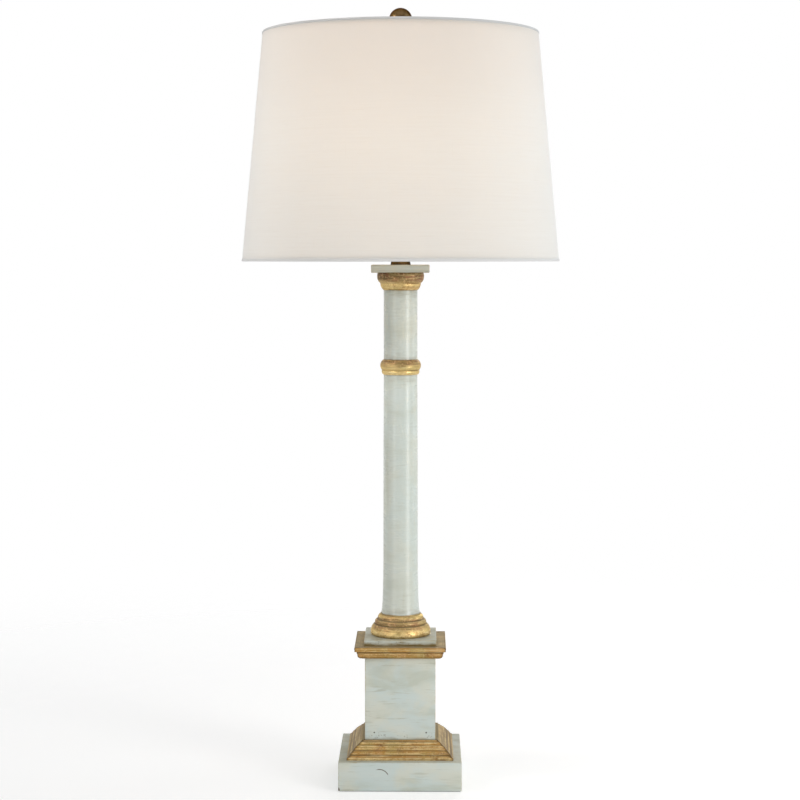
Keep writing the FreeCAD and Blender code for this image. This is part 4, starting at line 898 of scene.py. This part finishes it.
styrene, spot = new_finish("styrene_liner")
milky = cloud(spot, 0.05, 2)
white = blend(milky, (0.88, 0.87, 0.84), (0.92, 0.91, 0.88))
shader = lay_on(white, ramp(milky, 0.3, 0.7, 0.4, 0.5), milky, 0.0001)
let_through(0.72, shader, add_node("BsdfTransparent", tree=spot.id_data))
dress(styrene, "shade_liner")

plain_weave, spot, given = new_group("plain_weave", Pitch=0.0007)
counted = add_node("VectorMath", {0: spot, "Scale": reckon("DIVIDE", 1, given["Pitch"])}, operation="SCALE")
wander = add_node("TexNoise", {"Vector": stretched(spot, (60, 60, 0)), "Scale": 1, "Detail": 2})
weft, warp = (plus(along, wander.outputs["Fac"]) for along in split(counted.outputs[0])[:2])
over = reckon("PINGPONG", plus(reckon("FLOOR", weft), reckon("FLOOR", warp)), 1)


def thread_round(along):
    """How high a round thread stands, across its own width."""
    middle = less(reckon("FRACT", along), 0.5)
    return fused(times(middle, middle), -4, 1)


weave_up = most(times(thread_round(weft), over), times(thread_round(warp), less(1, over)))
slubs = most(ramp(cloud(stretched(spot, (26, 900, 1)), 1, 3, 0.6), 0.56, 0.74),
             ramp(cloud(stretched(spot, (900, 22, 1)), 1, 3, 0.6), 0.6, 0.78))
give_out(plain_weave, Relief=fused(slubs, 0.5, weave_up), Slubs=slubs,
         Tone=cloud(stretched(spot, (9, 420, 1)), 1, 4, 0.6))


def linen(name, light_through, crown, dark, pale):
    """Slubbed plain weave that follows the cloth's own UV map, and lets the bulb's light through. Its top is
    tinted with painted light: a warmer glow on the cover, painted shade on a band.
    """
    material, spot = new_finish(name)
    tree = spot.id_data
    weave = use(plain_weave, add_node("UVMap", tree=tree, uv_map="cloth").outputs["UV"], Pitch=0.0007)
    # Towards the top the colour goes over to the crown tint, which is painted light.
    flax = layered(dark, (weave["Tone"], pale), (times(weave["Slubs"], 0.3), (0.76, 0.72, 0.66)),
                   (ramp(split(spot)["Z"], 0.74, 0.9), crown))
    shader = lay_on(flax, ramp(weave["Relief"], 0, 1, 0.95, 0.8), weave["Relief"], 0.00003,
                    Sheen_Weight=0.3, Sheen_Roughness=0.5, Sheen_Tint=(0.9, 0.95, 1), Specular_IOR_Level=0.2)
    slant = add_node("LayerWeight", tree=tree).outputs["Facing"]
    share = fused(slant, -0.9 * light_through, light_through)
    let_through(share, shader, add_node("BsdfTranslucent", {"Color": flax}))
    return material


cloth_low, cloth_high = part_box("shade_fabric")
foot_radius, head_radius, lap, lap_rise, lap_slope = cloth_high.x, 0.1632, 0.012, 0.00045, 0.006
cloth_height = cloth_high.z - cloth_low.z
slant = hypot(foot_radius - head_radius, cloth_height)
cloth = bmesh.new()
bmesh.ops.create_grid(cloth, x_segments=366, y_segments=24, size=0.5)
cloth_map = cloth.loops.layers.uv.new("cloth")
lap_turn = lap / head_radius
whole_turn = 2 * pi + lap_turn
for face in cloth.faces:
    for loop in face.loops:
        loop[cloth_map].uv = ((loop.vert.co.x + 0.5) * whole_turn * (foot_radius + head_radius) / 2,
                              (loop.vert.co.y + 0.5) * slant)
for vert in cloth.verts:
    turn, rise = (vert.co.x + 0.5) * whole_turn, vert.co.y + 0.5
    radius = foot_radius + (head_radius - foot_radius) * rise
    radius += lap_rise * max(0, min(1, (turn - 2 * pi + lap_slope) / lap_slope))
    heading = pi / 2 - lap_turn / 2 + turn
    vert.co = (radius * cos(heading), radius * sin(heading), cloth_low.z + rise * cloth_height)
face_outwards(cloth)
if sum(face.normal.dot(face.calc_center_median() * Vector((1, 1, 0))) for face in cloth.faces) < 0:
    bmesh.ops.reverse_faces(cloth, faces=cloth.faces)
# The cover's crown tint is a painted warmer glow, as if the bulb lit the top of the shade more.
cover_linen = linen("linen", 0.42, (0.805, 0.76, 0.71), (0.82, 0.8, 0.765), (0.86, 0.85, 0.82))
cover = hang("linen_cover", cloth, cover_linen, "shade_fabric", "shade", 60)


def band(name, node, edge, inward, tall):
    """A strip of linen folded over one rim of the shade."""
    thick, tucked, backed = 0.0005, 0.0026, 0.001
    slope = (head_radius - foot_radius) / cloth_height

    def at(inset, up, bulge=0):
        return foot_radius + slope * (up - cloth_low.z) - inset, up, bulge

    out, back, over = edge + inward * tall, edge + inward * tucked, edge - inward * thick
    fold = inward * thick * 0.8
    folded = turned(outline([
        at(-thick * 0.3, out, 0.1 * inward), at(-thick, out - fold), at(-thick, over + fold, 0.2 * inward),
        at(-thick * 0.2, over), at(backed + thick * 0.2, over), at(backed + thick, over + fold),
        at(backed + thick, back), at(backed, back), at(backed, edge), at(0, edge), at(0, out)],
        step=0.0006), steps=240)
    band_map = folded.loops.layers.uv.new("cloth")
    for face in folded.faces:
        centre = atan2(*face.calc_center_median().xy)
        for loop in face.loops:
            turn = atan2(*loop.vert.co.xy)
            turn += 2 * pi * round((centre - turn) / (2 * pi))
            loop[band_map].uv = (turn * foot_radius, loop.vert.co.z + loop.vert.co.xy.length)
    return hang(name, folded, shaded_band_linen, node, "shade", 50)


# The bands are darker grey than the cover as painted shade, and the crown tint darkens the head band again as
# painted shade.
shaded_band_linen = linen("shaded_band_linen", 0.04, (0.58, 0.575, 0.57), (0.67, 0.66, 0.65), (0.73, 0.72, 0.71))
bands = [band("foot_band", "shade_bottom_trim", cloth_low.z, 1, 0.0027),
         band("head_band", "shade_top_trim", cloth_high.z, -1, 0.0021)]


# Finial: a ball turned in brass on a short waisted neck, darkened as the neck cap is. It screws on the
# stud and holds the shade down.
low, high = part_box("finial")
ball, ball_top = high.x * 1.06, high.z - 0.001
bore, bore_depth = 0.00316, 0.0162
finial = turned(outline([
    (0, low.z + bore_depth), (bore, low.z + bore_depth), (bore, low.z), (0.0077, low.z, 0.2),
    (0.008, low.z + 0.0003), (0.008, low.z + 0.00254, 0.25), (0.0056, low.z + 0.0057),
    (0.00496, low.z + 0.0076, -0.15), ball_arc(ball, ball_top - ball, radians(63)), (0, ball_top)],
    step=0.0009), steps=96)
hang("ball_top", finial, old_brass, "finial", "ball_finial")
